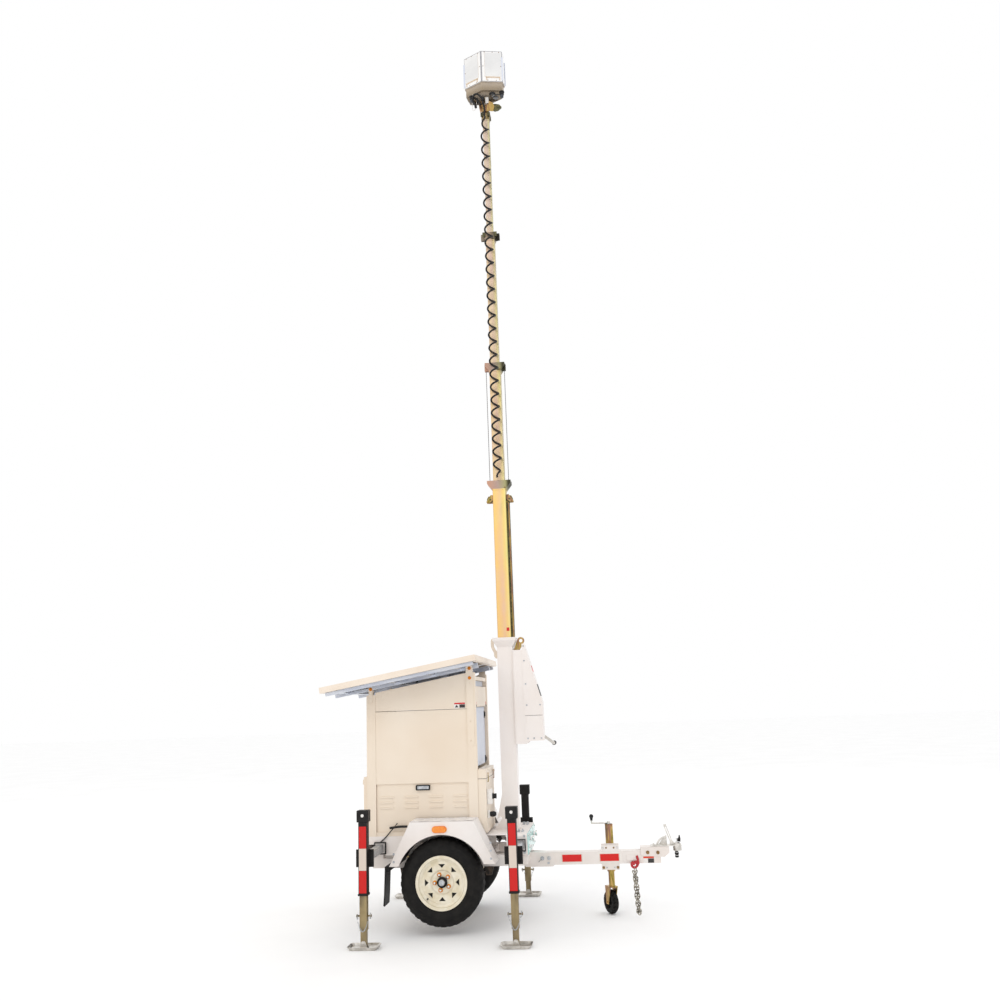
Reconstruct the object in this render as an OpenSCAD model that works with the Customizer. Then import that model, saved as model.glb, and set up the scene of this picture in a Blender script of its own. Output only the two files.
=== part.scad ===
// Solar mast trailer: a braked-hitch single-axle trailer with a cabinet, a tilting
// solar array, a four-section telescopic mast and four outrigger legs.
// Millimetres. +X is towards the coupling, +Y to the trailer's left, +Z up.
// The model stands on its four foot pads, with the wheels hanging clear of the ground.

/* [Wheels and axle] */
// Tyre outside diameter
tyre_d = 628; // [590:1:640]
// Tyre section width
tyre_w = 195; // [175:1:205]
// Rim flange outside diameter
rim_d = 391; // [370:1:400]
// Distance between the two tyre centres
track = 1016; // [1000:1:1080]
// Axle height above the ground, on raised legs
axle_z = 375; // [350:1:395]
// Wheel bolt circle diameter
stud_pcd = 114; // [100:1:120]

/* [Chassis] */
// Outside width over the chassis rails
chassis_w = 690; // [640:1:720]
// Height of the rails' underside
rail_z = 450; // [440:1:470]
// Rail section height
rail_h = 70; // [60:1:80]
// Rail section width
rail_w = 50; // [40:1:60]
// Drawbar tube section
drawbar_s = 95; // [80:1:100]
// Front end of the drawbar tube
drawbar_end = 1655; // [1500:1:1800]

/* [Cabinet] */
// Cabinet width over the corner posts
cab_w = 770; // [700:1:790]
// Rear face of the corner posts
cab_rear = -614; // [-660:1:-600]
// Front face of the corner posts
cab_front = 268; // [250:1:290]
// Underside of the cabinet posts
cab_z = 690; // [680:1:700]
// Height of the rear post tops
rear_post_z = 1772; // [1700:1:1772]
// Height of the front post tops
front_post_z = 1922; // [1850:1:1930]
// Height of the seam under the upper side panel
upper_seam_z = 1640; // [1500:1:1680]
// Height of the seam over the louvred panel
lower_seam_z = 1080; // [1040:1:1120]
// Corner post size along the trailer
post_x = 72; // [60:1:80]
// Corner post size across the trailer
post_y = 50; // [45:1:60]

/* [Solar array] */
// Length of the array along its slope
array_l = 1245; // [1150:1:1300]
// Width of the array across the trailer
array_w = 1400; // [1200:1:1500]
// Depth of the panel frames
array_t = 46; // [35:1:46]
// Tilt of the array at rest, front edge up
array_tilt = 9.6; // [8:0.1:11]
// Tilt strap length
strap_l = 631; // [600:1:680]

/* [Mast] */
// Mast centre line, along the trailer
mast_x = 484; // [470:1:500]
// Mast column outside size
column_s = 130; // [124:1:140]
// Height of the column's top lip
column_top = 2207; // [2100:1:2300]
// Outside sizes of the four moving sections, outer to inner
section_s = [112, 96, 80, 60];
// Heights of the four section tops, fully raised
section_top = [3560, 4640, 5910, 7150];
// Lengths of the four sections
section_l = [1570, 1300, 1470, 1440];
// Wall of the moving sections
section_wall = 4; // [3:0.5:4]

/* [Mast head] */
// Head housing width
head_w = 374; // [340:1:400]
// Head housing depth, corner to corner
head_d = 220; // [200:1:260]
// Height of the white housing
head_h = 327; // [280:1:360]

/* [Outriggers] */
// Leg centre line, distance from the trailer's centre plane
leg_y = 900; // [860:1:960]
// Right rear leg centre line along the trailer
rear_leg_x = -510; // [-530:1:-505]
// Right front leg centre line along the trailer
front_leg_x = 580; // [570:1:590]
// Height of the outrigger arms' centre line
arm_z = 605; // [600:1:610]
// Outrigger arm section
arm_s = 56; // [50:1:56]
// Outer leg tube section
leg_s = 64; // [60:1:66]
// Drop leg section
drop_s = 52; // [50:1:54]
// Foot pad length
pad_l = 230; // [200:1:240]
// Foot pad width
pad_w = 150; // [120:1:170]

/* [Jockey wheel and coupling] */
// Jockey jack centre line along the trailer
jack_x = 1260; // [1200:1:1300]
// Jockey wheel diameter
jockey_d = 182; // [160:1:184]
// Tow ball socket diameter
ball_d = 50.6; // [50:0.1:51]

/* [Hidden] */
$fn = 48;
// General sheet and plate thicknesses, and the gap left between bodies
sheet = 3;
plate = 6;
gap = 0.3;
side = cab_w / 2;
cab_l = cab_front - cab_rear;
roof_angle = atan2(front_post_z - rear_post_z, cab_l - post_x);
rail_y = chassis_w / 2;
rail_top = rail_z + rail_h;
deck_h = 45;

// Wheels
hub_pilot_r = 33;
spindle_r = 20;
hub_r = 62;
hub_len = 84;
disc_y = 30;
tyre_y = track / 2;
bead_r = rim_d / 2 - 15;
stud_r = 6;
stud_count = 5;
stud_start = 112;
axle_s = 45;

// Outriggers
arm_pitch = 65;
arm_clear = 0.8;
arm_wall = 4;
bore_s = arm_s + 2 * arm_clear;
receiver_h = 80;
receiver_l = 800;
receiver_wall = 10;
arm_stroke = 420;
arm_overlap = 200;
plate_l = 132;
plate_h = 123;
plate_t = 10;
leg_top = 862;
leg_bottom = 358;
leg_wall = 4;
cap_w = 87;
cap_h = 82;
drop_bottom = 125;
drop_top = 730;
stem_s = 42;
stem_top = 320;
pin_z = 219;
pin_r = 6;
foot_bolt_r = 6;
foot_z = 44;
pad_t = 5;

// Mast
column_wall = 5;
column_bottom = 684;
lip_s = 194;
lip_h = 25;
flare_h = 78;
flare_s = [205, 176, 126, 84];
pad_h = 120;
base_rear = 300;
base_front = 634;
base_bottom = 532;
base_top = 684;
base_w = 720;

// Solar array hinge and strap, as local places along the array
hinge_x = cab_rear + 35;
hinge_z = rear_post_z + 47;
array_rear = -326;
array_front = array_rear + array_l;
panel_z = 30.5;
subrail_s = 40;
strap_pivot = 818;
CROSS_X = [array_rear + 120, 200, 500, array_front - 190];
strap_w = 56;
strap_hole_pitch = 148;
bolt_r = 6;

// Winch
winch_x = 667;
winch_z = 1470;
winch_shaft_r = 9;
crank_arm = 225;
crank_angle = 37;
cover_w = 164;
cover_gap = 60;

// Jockey jack
jack_y = drawbar_s / 2 + 42;
drawbar_z = 451;
jack_r = 30;
jack_in_r = 26;
jack_tube_r = 24;
jack_bottom = 327;
jack_top = 687;
jack_slide_top = 560;
fork_top = 215;
jockey_z = jockey_d / 2 + 2;
jockey_w = 52;
jockey_axle_r = 7;
jockey_yaw = -62;
trail = 30;

// Coupling
coupling_x = 1790;
coupling_z = 518;
lever_x = 1750;
lever_z = 545;

// Locker on the cabinet's front face
locker_front = 332;
locker_y0 = -375;
locker_y1 = 130;
lid_z = 1103;
lid_top = 1172;
latch_z = 1136;
LATCH_Y = [-300, 60];

// The row's origin: the middle of the length, between the array's rear edge and the coupling's nose
nose_x = coupling_x + 34;
tail_x = hinge_x + array_rear * cos(array_tilt) - (panel_z + array_t) * sin(array_tilt);
x_mid = (nose_x + tail_x) / 2;

LEGS = ["rr", "rl", "fr", "fl"];
SIDES = ["right", "left"];

// Colours
PAINT = "#ebe3d8";
ZINC = "#d9c07a";
STEEL = "#b9bcbf";
BLACK = "#1e1c1c";

// ---------- helpers ----------

// A box from one corner to the opposite one
module span(a, b) translate(a) cube(b - a);

// A box tube along Z with a wall, standing on z = 0
module tube_z(s, wall, h) difference() {
    translate([-s / 2, -s / 2, 0]) cube([s, s, h]);
    translate([-s / 2 + wall, -s / 2 + wall, -1]) cube([s - 2 * wall, s - 2 * wall, h + 2]);
}

// A cylinder whose axis runs along Y, centred on it
module cyl_y(r, h) rotate([90, 0, 0]) cylinder(r = r, h = h, center = true);

// A cylinder whose axis runs along X, centred on it
module cyl_x(r, h) rotate([0, 90, 0]) cylinder(r = r, h = h, center = true);

// A shape drawn in the X-Z plane and thickened along Y, from y0 to y1
module side_extrude(y0, y1) translate([0, y1, 0]) rotate([90, 0, 0])
    linear_extrude(height = y1 - y0) children();

// A flat bar from point a to point b in the X-Z plane, t thick below the line, from y0 to y1
module sheet_strip(a, b, t, y0, y1) {
    d = b - a;
    n = [d[1], -d[0]] / norm(d) * t;
    side_extrude(y0, y1) polygon([a, b, b + n, a + n]);
}

// A square frustum from size s0 at z = 0 to size s1 at z = h
module frustum(s0, s1, h) intersection() {
    rotate([90, 0, 0]) linear_extrude(height = max(s0, s1) + 2, center = true)
        polygon([[-s0 / 2, 0], [s0 / 2, 0], [s1 / 2, h], [-s1 / 2, h]]);
    rotate([90, 0, 90]) linear_extrude(height = max(s0, s1) + 2, center = true)
        polygon([[-s0 / 2, 0], [s0 / 2, 0], [s1 / 2, h], [-s1 / 2, h]]);
}

// A slot outline with round ends, l long and w wide, along X
module slot_2d(l, w) union() {
    square([l - w, w], center = true);
    for (s = [-1, 1]) translate([s * (l - w) / 2, 0]) circle(d = w);
}

// Copies on the right side (-Y) and mirrored on the left side (+Y)
module both_sides() {
    children();
    mirror([0, 1, 0]) children();
}

// Leg centre along X: each left arm lies behind its right neighbour by one arm pitch
function leg_x(id) = (id[0] == "r" ? rear_leg_x : front_leg_x) - (id[1] == "l" ? arm_pitch : 0);
function leg_side(id) = id[1] == "r" ? -1 : 1;

// ---------- chassis ----------

// A block across the trailer that holds one right and one left outrigger arm side by side
module receiver(x_right) {
    x0 = x_right - arm_pitch - bore_s / 2 - receiver_wall;
    x1 = x_right + bore_s / 2 + receiver_wall;
    difference() {
        span([x0, -receiver_l / 2, arm_z - receiver_h / 2], [x1, receiver_l / 2, arm_z + receiver_h / 2]);
        for (x = [x_right, x_right - arm_pitch])
            span([x - bore_s / 2, -receiver_l, arm_z - bore_s / 2],
                 [x + bore_s / 2, receiver_l, arm_z + bore_s / 2]);
    }
}

module chassis_frame() color(PAINT) {
    rail_rear = cab_rear + 34;
    saddle_x = [rear_leg_x - arm_pitch / 2, -240, 200];
    both_sides() {
        difference() {
            span([rail_rear, -rail_y, rail_z], [base_rear, -rail_y + rail_w, rail_top]);
            span([rail_rear - 1, -rail_y + sheet, rail_z + sheet],
                 [base_rear + 1, -rail_y + rail_w - sheet, rail_top - sheet]);
        }
        for (x = saddle_x)
            span([x - 45, -rail_y, rail_top],
                 [x + 45, -rail_y + rail_w, x < rear_leg_x + 1 ? arm_z - receiver_h / 2 : cab_z - deck_h]);
        span([cab_rear + 4, -side, cab_z - deck_h], [cab_front, -side + rail_w, cab_z]);
        span([rear_leg_x + bore_s / 2 + 12, -side, rail_top + 30], [-250, -side + 4, cab_z - deck_h]);
    }
    receiver(rear_leg_x);
    for (x = [rail_rear + 30, -20, base_rear - 60])
        span([x - 25, -rail_y + rail_w, rail_z], [x + 25, rail_y - rail_w, rail_top]);
    for (x = [cab_rear + 29, cab_front - 25])
        span([x - 25, -side + rail_w, cab_z - deck_h], [x + 25, side - rail_w, cab_z]);
}

module mast_base() color(PAINT) {
    difference() {
        span([base_rear, -base_w / 2, base_bottom], [base_front, base_w / 2, base_top]);
        for (x = [front_leg_x, front_leg_x - arm_pitch])
            span([x - bore_s / 2, -receiver_l, arm_z - bore_s / 2],
                 [x + bore_s / 2, receiver_l, arm_z + bore_s / 2]);
        span([base_rear + 8, -base_w / 2 - 1, base_bottom - 1],
             [front_leg_x - arm_pitch - bore_s / 2 - 12, base_w / 2 + 1, base_top - 8]);
        // bevelled top edge on each end
        both_sides() translate([base_front, -base_w / 2, base_top]) rotate([45, 0, 0])
            cube([2 * base_w, 26, 26], center = true);
    }
    // gussets that brace the column, with a slotted hole
    for (y = [-column_s / 2 - 8, column_s / 2 + 2]) side_extrude(y, y + plate) difference() {
        polygon([[base_rear + 6, base_top], [base_rear + 60, base_top + 8], [mast_x - column_s / 2 - 1, 950],
                 [mast_x - column_s / 2 + 30, 950], [mast_x - column_s / 2 + 30, base_top]]);
        translate([mast_x - 102, base_top + 60]) rotate(58) slot_2d(84, 26);
    }
    // rails run under the box to carry the drawbar's side plates
    both_sides() span([base_rear, -rail_y, rail_z], [base_front - 40, -rail_y + rail_w, base_bottom]);
    span([base_front - 60, -rail_y + rail_w, rail_z], [base_front - 10, -drawbar_s / 2 - 8, base_bottom]);
    span([base_front - 60, drawbar_s / 2 + 8, rail_z], [base_front - 10, rail_y - rail_w, base_bottom]);
    span([base_rear, -rail_y + rail_w, rail_z], [base_rear + 40, rail_y - rail_w, base_bottom]);
}

module front_cover() {
    // the tinted cover plate on the mast base, and the recessed panel on the cabinet's front face
    color("#9fd0cc") difference() {
        span([base_front, -base_w / 2 + 40, base_bottom - 10], [base_front + 6, base_w / 2 - 40, base_top - 4]);
        for (y = [-215, 215]) translate([base_front, y, base_bottom + 34]) rotate([0, 90, 0])
            linear_extrude(height = 20, center = true) slot_2d(56, 20);
    }
    color(PAINT) {
        span([cab_front - 30, -side + post_y, lid_top + 12], [cab_front - 24, side - post_y, 1663]);
        span([cab_front - 12, -side + post_y, 1663], [cab_front - 4, side - post_y, 1847]);
        span([cab_front - 40, -side + post_y, 1847], [cab_front - 34, side - post_y, front_post_z - 60]);
    }
}

module drawbar() color(PAINT) {
    difference() {
        span([base_rear + 40, -drawbar_s / 2, drawbar_z - drawbar_s / 2],
             [drawbar_end, drawbar_s / 2, drawbar_z + drawbar_s / 2]);
        span([base_rear + 30, -drawbar_s / 2 + 5, drawbar_z - drawbar_s / 2 + 5],
             [drawbar_end + 1, drawbar_s / 2 - 5, drawbar_z + drawbar_s / 2 - 5]);
    }
    // side plates that clamp the tube under the mast base, with two pin bolts
    both_sides() side_extrude(-drawbar_s / 2 - 8, -drawbar_s / 2) difference() {
        polygon([[578, drawbar_z + 56], [804, drawbar_z + 44], [820, drawbar_z + 30], [820, drawbar_z - 44],
                 [806, drawbar_z - 58], [590, drawbar_z - 58], [578, drawbar_z - 46]]);
        translate([776, drawbar_z - 30]) circle(r = 7);
    }
    for (x = [722, 776]) translate([x, 0, drawbar_z + 5]) cyl_y(x == 722 ? 9 : 12, drawbar_s + 46);
}

// ---------- axle and wheels ----------

module axle_beam() color(BLACK) {
    spindle_end = tyre_y + 20;
    inner = rail_y + 20;
    span([-axle_s / 2, -inner, axle_z - axle_s / 2], [axle_s / 2, inner, axle_z + axle_s / 2]);
    both_sides() translate([0, -(inner + spindle_end) / 2, axle_z]) cyl_y(spindle_r, spindle_end - inner);
}

module leaf_springs() color("#6d6a66") both_sides() translate([0, -rail_y + rail_w / 2, 0]) {
    span_x = 330;
    seat = axle_z + axle_s / 2;
    // main leaf and two shorter ones, then the axle plate and its U-bolts
    for (i = [0:2]) span([-span_x + 10 + i * 90, -22, seat + i * 9], [span_x - 10 - i * 90, 22, seat + 8.8 + i * 9]);
    span([-60, -30, seat + 27], [60, 30, seat + 35]);
    span([-60, -30, axle_z - axle_s / 2 - 9], [60, 30, axle_z - axle_s / 2]);
    for (x = [-40, 40]) for (y = [-26, 26]) translate([x, y, axle_z - axle_s / 2 - 22])
        cylinder(r = 5, h = axle_s + 70);
    // hangers up to the rail
    for (s = [-1, 1]) {
        for (y = [-28, 23]) side_extrude(y, y + 5) polygon([[s * span_x - 22, seat - 12],
            [s * span_x + 22, seat - 12], [s * span_x + 34, rail_z], [s * span_x - 34, rail_z]]);
        translate([s * span_x, 0, seat + 4]) difference() {
            cyl_y(14, 44);
            cyl_y(7 + gap, 50);
        }
        translate([s * span_x, 0, seat + 4]) cyl_y(7, 66);
    }
}

// Wheel parts are drawn about the Z axis, outer face at +Z, then turned to the trailer's side
module on_axle(id) translate([0, (id == "right" ? -1 : 1) * tyre_y, axle_z])
    rotate([id == "right" ? 90 : -90, 0, 0]) children();

module tyre(id) color("#17171a") on_axle(id) {
    w = tyre_w / 2;
    r = tyre_d / 2;
    bulge = [for (a = [-52:13:52]) [bead_r + 16 + (r - bead_r) * 0.36 + 52 * sin(a), w - 40 + 40 * cos(a)]];
    flipped = [for (i = [len(bulge) - 1:-1:0]) [bulge[i][0], -bulge[i][1]]];
    rotate_extrude($fn = 96) difference() {
        polygon(concat([[bead_r + gap, w - 30]], bulge, [[r - 7, w - 30], [r, w - 44]],
                       [[r, -w + 44], [r - 7, -w + 30]], flipped, [[bead_r + gap, -w + 30]]));
        for (y = [-34, 0, 34]) translate([r - 8, y - 4]) square([9, 8]);
    }
}

module rim(id) color("#e9e2cf") on_axle(id) difference() {
    w = tyre_w / 2 - 30;
    fl = rim_d / 2;
    union() {
        // barrel with its two flanges and drop centre
        rotate_extrude($fn = 96) polygon([[bead_r - 5, -w - 12], [fl, -w - 14], [fl, -w - 10], [bead_r, -w - 6],
            [bead_r, -30], [bead_r - 22, -18], [bead_r - 22, 12], [bead_r, 26], [bead_r, w + 6], [fl, w + 10],
            [fl, w + 16], [bead_r - 5, w + 14], [bead_r - 9, w - 4], [bead_r - 28, w - 14], [bead_r - 28, -24],
            [bead_r - 5, -36]]);
        // pressed disc
        rotate_extrude($fn = 96) polygon([[hub_pilot_r + gap, disc_y - 3], [84, disc_y - 3], [96, disc_y + 9],
            [128, disc_y + 12], [bead_r - 27, w - 30], [bead_r - 27, w - 18], [132, disc_y + 20],
            [92, disc_y + 17], [80, disc_y + 5], [hub_pilot_r + gap, disc_y + 5]]);
    }
    // eight three-sided vents, apex inwards
    for (i = [0:7]) rotate(i * 45) translate([117, 0, 0]) linear_extrude(height = 80)
        polygon([[-15, 0], [14, 26], [14, -26]]);
    for (i = [0:stud_count - 1]) rotate(stud_start + i * 360 / stud_count) translate([stud_pcd / 2, 0, 0])
        cylinder(r = stud_r + gap, h = 80);
}

module hub(id) color(BLACK) on_axle(id) {
    face = disc_y - 3 - gap;
    difference() {
        union() {
            translate([0, 0, face - 8]) cylinder(r = hub_r + 8, h = 8);
            translate([0, 0, face - hub_len + 20]) cylinder(r = 45, h = hub_len - 20);
            cylinder(r = hub_pilot_r, h = disc_y + 34);
            translate([0, 0, disc_y + 5 + gap]) cylinder(r = 39, h = 16);
        }
        translate([0, 0, -80]) cylinder(r = spindle_r + 0.08, h = 108);
    }
    // grease cap, studs and nuts
    translate([0, 0, disc_y + 34]) cylinder(r1 = 24, r2 = 20, h = 8);
    for (i = [0:stud_count - 1]) rotate(stud_start + i * 360 / stud_count) translate([stud_pcd / 2, 0, face - 8]) {
        cylinder(r = stud_r, h = 44);
        translate([0, 0, 16 + gap]) cylinder(r1 = 8, r2 = 12, h = 6);
        translate([0, 0, 22]) cylinder(r = 11, h = 18, $fn = 6);
    }
}

// ---------- fenders ----------

FENDER = [[-387, 505], [-226, 818], [261, 818], [414, 510]];
fender_out = tyre_y + tyre_w / 2 + 14;

module fenders() color(PAINT) both_sides() {
    for (i = [0:2]) sheet_strip(FENDER[i], FENDER[i + 1], sheet, -fender_out, -side - gap);
    side_extrude(-fender_out - sheet, -fender_out) difference() {
        polygon(FENDER);
        translate([8, axle_z]) circle(r = tyre_d / 2 + 34, $fn = 96);
        translate([-500, 300]) square([1000, 205]);
    }
    // lower rear and front returns that stiffen the ends
    sheet_strip([-387, 505], [-330, 505], sheet, -fender_out, -fender_out + 40);
    sheet_strip([356, 510], [412, 510], sheet, -fender_out, -fender_out + 40);
}

module mudflaps() color(BLACK) both_sides() {
    y0 = -tyre_y - tyre_w / 2 + 4;
    side_extrude(y0, y0 + tyre_w - 24)
        polygon([[-418, 500], [-426, 500], [-434, 300], [-440, 226], [-432, 218], [-426, 300]]);
    // the flap's bracket, from the chassis rail out behind the wheel
    span([-421, y0 + 10, 462], [-398, -rail_y - gap, 502]);
}

module marker_lamps() color("#e88a1a") both_sides()
    translate([0, -fender_out - sheet - gap, 762]) rotate([90, 0, 0]) {
        linear_extrude(height = 6) slot_2d(114, 50);
        translate([0, 0, 6]) linear_extrude(height = 12) slot_2d(100, 40);
    }

// ---------- cabinet ----------

// Posts with their tops cut to the roof slope
module cabinet_frame() color(PAINT) {
    // rails run a little into the posts they are welded to
    x0 = cab_rear + post_x - 1;
    x1 = cab_front - post_x + 1;
    posts = [[cab_rear, rear_post_z], [cab_front - post_x, front_post_z]];
    both_sides() {
        for (p = posts) difference() {
            span([p[0], -side, cab_z], [p[0] + post_x, -side + post_y, p[1]]);
            span([p[0] + sheet, -side + sheet, cab_z - 1], [p[0] + post_x - sheet, -side + post_y - sheet, p[1] - sheet]);
        }
        // sloping top rail between the posts
        side_extrude(-side + 6, -side + post_y - 4) polygon([[x0, rear_post_z - 44],
            [x0, rear_post_z - 8], [x1, front_post_z - 30], [x1, front_post_z - 66]]);
        span([x0, -side + 6, cab_z], [x1, -side + 36, cab_z + 30]);
        // hinge lugs for the array, one each side of its rail
        for (y = [-side - plate + 1, -side + subrail_s + 1]) side_extrude(y, y + plate - gap) difference() {
            union() {
                translate([hinge_x, hinge_z]) circle(r = 17);
                translate([hinge_x - 17, rear_post_z - 60]) square([34, 60 + hinge_z - rear_post_z]);
            }
            translate([hinge_x, hinge_z]) circle(r = bolt_r + 0.05);
        }
    }
    for (x = [cab_rear + 6, cab_front - 36]) {
        top = x < 0 ? rear_post_z - 50 : front_post_z - 60;
        span([x, -side + post_y - 1, cab_z], [x + 30, side - post_y + 1, cab_z + 30]);
        span([x, -side + post_y - 1, top], [x + 30, side - post_y + 1, top + 30]);
    }
    // floor and roof sheets
    span([cab_rear + 10, -side + 30, cab_z + 29], [cab_front - 10, side - 30, cab_z + 33]);
    side_extrude(-side + post_y - 10, side - post_y + 10) polygon([[x0 - 3, rear_post_z - 10],
        [x0 - 3, rear_post_z - 13], [x1 + 3, front_post_z - 35], [x1 + 3, front_post_z - 32]]);
}

module side_panels() color(PAINT) {
    x0 = cab_rear + post_x + gap;
    x1 = cab_front - post_x - gap;
    both_sides() {
        // upper panel follows the roof slope; the main panel lies under it
        side_extrude(-side + 3, -side + 5.7) polygon([[x0, upper_seam_z + 2], [x1, upper_seam_z + 2],
            [x1, front_post_z - 3], [x0, rear_post_z + 18]]);
        span([x0, -side + 3, lower_seam_z], [x1, -side + 5.7, upper_seam_z - 2]);
        // folded lip along the main panel's lower edge
        span([x0, -side + 5.7, lower_seam_z], [x1, -side + 24, lower_seam_z + 3]);
    }
    // upper rear panel
    span([cab_rear + 2, -side + post_y, 1160], [cab_rear + 5, side - post_y, rear_post_z - 52]);
}

module louvre_panels() color(PAINT) both_sides() {
    x0 = cab_rear + post_x + 2;
    x1 = cab_front - post_x - 2;
    y = -side + 17;
    difference() {
        span([x0, y, cab_z + 30 + gap], [x1, y + 3, lower_seam_z - gap]);
        for (i = [0:3]) for (j = [0:2]) translate([cab_rear + 157 + i * 195, y, 976 - j * 40])
            cube([96, 20, 6], center = true);
    }
    // pressed hoods over the slots
    for (i = [0:3]) for (j = [0:2]) translate([cab_rear + 157 + i * 195, y, 980 - j * 40])
        rotate([90, 0, 0]) intersection() {
            translate([0, -6, 0]) rotate([0, 90, 0]) cylinder(r = 12, h = 108, center = true, $fn = 24);
            translate([-54, -6, 0]) cube([108, 14, 8]);
        }
    // flush slam latch
    translate([-166, y, 1048]) rotate([90, 0, 0]) linear_extrude(height = 7) difference() {
        slot_2d(112, 38);
        slot_2d(92, 18);
    }
    translate([-166, y - 1, 1048]) rotate([90, 0, 0]) linear_extrude(height = 3) slot_2d(90, 16);
}

module front_locker() color(PAINT) difference() {
    span([cab_front + gap, locker_y0, cab_z + 10], [locker_front, locker_y1, lid_z - gap]);
    span([cab_front + 4, locker_y0 + 3, cab_z + 13], [locker_front - 3, locker_y1 - 3, lid_z]);
}

module locker_lid() color(PAINT) {
    difference() {
        span([cab_front + gap, locker_y0, lid_z], [locker_front + 2, locker_y1, lid_top]);
        span([cab_front + 5, locker_y0 + 3, lid_z - 1], [locker_front - 1, locker_y1 - 3, lid_top - 3]);
    }
    // hinge knuckles on the top rear edge
    for (y = [-300, 55]) translate([cab_front + 8, y, lid_top + 3]) cyl_y(5, 60);
    // latch cheeks on the front face
    for (y = LATCH_Y) for (d = [-11, 8]) difference() {
        span([locker_front + 2, y + d, latch_z - 9], [locker_front + 16, y + d + 3, latch_z + 9]);
        translate([locker_front + 10, y, latch_z]) cyl_y(3.06, 40);
    }
}

// Toggle latches carried by the lid, each hanging down over a keeper on the locker
module lid_latches() color("#a97b3c") for (y = LATCH_Y) translate([locker_front + 10, y, latch_z]) {
    cyl_y(3, 26);
    cyl_y(6, 15);
    span([-2, -7, -64], [3, 7, 0]);
    span([-7, -7, -64], [3, 7, -59]);
}

module rear_door() color(PAINT) {
    difference() {
        span([cab_rear - 30, -side + 16, cab_z + 30], [cab_rear - gap, side - 16, 1138]);
        span([cab_rear - 27, -side + 19, cab_z + 33], [cab_rear, side - 19, 1135]);
    }
    // hinge barrels on the left edge and a latch on the right
    for (z = [800, 1060]) translate([cab_rear - 18, side - 10, z]) cylinder(r = 5.5, h = 60, center = true);
    span([cab_rear - 38, -side + 20, 1082], [cab_rear - 30, -side + 44, 1118]);
}

module batteries() color("#3a3d42") for (x = [-440, -120]) for (y = [-170, 170])
    span([x - 150, y - 120, cab_z + 33 + gap], [x + 110, y + 110, cab_z + 250]);

// ---------- solar array ----------

// Places a shape drawn in the array's own frame: X along the slope from the rear hinge, Z normal
module on_array() translate([hinge_x, 0, hinge_z]) rotate([0, -array_tilt, 0]) children();

module array_frame() color("#dfe1e6") on_array() {
    for (s = [-1, 1]) {
        y = s * (side - 1 - subrail_s / 2);
        difference() {
            span([array_rear + 30, y - subrail_s / 2 + 1, -subrail_s / 2 + 10], [array_front - 30, y + subrail_s / 2 - 1, panel_z]);
            translate([0, y, 0]) cyl_y(bolt_r + 0.05, 80);
        }
        span([array_rear + 30, s * (array_w / 2 - 60) - 15, 4], [array_front - 30, s * (array_w / 2 - 60) + 15, panel_z]);
    }
    for (x = CROSS_X)
        span([x, -side + 2 + subrail_s, 0], [x + 36, side - 2 - subrail_s, panel_z - gap]);
    for (x = CROSS_X) for (s = [-1, 1])
        translate([x, s > 0 ? side - 2 : -array_w / 2 + 76, 6]) cube([36, array_w / 2 - 74 - side, panel_z - 6 - gap]);
    // hinge pins, and the pins the tilt straps hang on
    for (s = [-1, 1]) {
        translate([0, s * (side - 21), 0]) cyl_y(bolt_r, 64);
        translate([strap_pivot, s * (side - 10), 0]) cyl_y(bolt_r, 40);
    }
}

module solar_panels() on_array() for (s = [-1, 1]) {
    y0 = s > 0 ? 2 : -array_w / 2;
    y1 = s > 0 ? array_w / 2 : -2;
    lip = 35;
    color("#d8dade") difference() {
        span([array_rear, y0, panel_z + gap], [array_front, y1, panel_z + array_t]);
        span([array_rear + 3, y0 + 3, panel_z + 3], [array_front - 3, y1 - 3, panel_z + array_t - 8]);
        span([array_rear + lip, y0 + lip, panel_z - 1], [array_front - lip, y1 - lip, panel_z + 10]);
        span([array_rear + 12, y0 + 12, panel_z + array_t - 9], [array_front - 12, y1 - 12, panel_z + array_t + 1]);
    }
    color("#16213a") span([array_rear + 3 + gap, y0 + 3 + gap, panel_z + array_t - 14],
        [array_front - 3 - gap, y1 - 3 - gap, panel_z + array_t - 8.2]);
}

module tilt_straps() {
    top_x = hinge_x + strap_pivot * cos(array_tilt);
    top_z = hinge_z + strap_pivot * sin(array_tilt);
    color(PAINT) both_sides() side_extrude(-side - plate - 0.5, -side - 0.5) difference() {
        translate([top_x, top_z + strap_w / 2 - strap_l / 2]) rotate(90) slot_2d(strap_l, strap_w);
        for (i = [0:3]) translate([top_x, top_z - 118 - i * strap_hole_pitch]) circle(r = 5);
        translate([top_x, top_z]) circle(r = bolt_r + 0.05);
    }
    // head of the removable lock bolt
    color("#b08a4a") both_sides() translate([top_x, -side - plate - 4.5, top_z - 76]) cyl_y(9, 8);
}

// ---------- mast ----------

module mast_column() color(PAINT) translate([mast_x, 0, 0]) {
    difference() {
        union() {
            translate([0, 0, column_bottom]) tube_z(column_s, column_wall, column_top - column_bottom);
            translate([0, 0, column_top - flare_h]) frustum(column_s, lip_s, flare_h - lip_h);
            translate([-lip_s / 2, -lip_s / 2, column_top - lip_h]) cube([lip_s, lip_s, lip_h]);
        }
        translate([0, 0, column_top - flare_h - 1])
            linear_extrude(height = flare_h + 2) square(column_s - 2 * column_wall, center = true);
    }
    // foot flange and front backing plate for the winch
    difference() {
        translate([-column_s / 2 - 20, -column_s / 2 - 1, column_bottom]) cube([column_s + 40, column_s + 2, 10]);
        translate([-column_s / 2 + column_wall, -column_s / 2 + column_wall, column_bottom - 1])
            cube([column_s - 2 * column_wall, column_s - 2 * column_wall, 20]);
    }
    span([column_s / 2, -cover_w / 2, 1340], [column_s / 2 + 5, cover_w / 2, 2100]);
}

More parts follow.
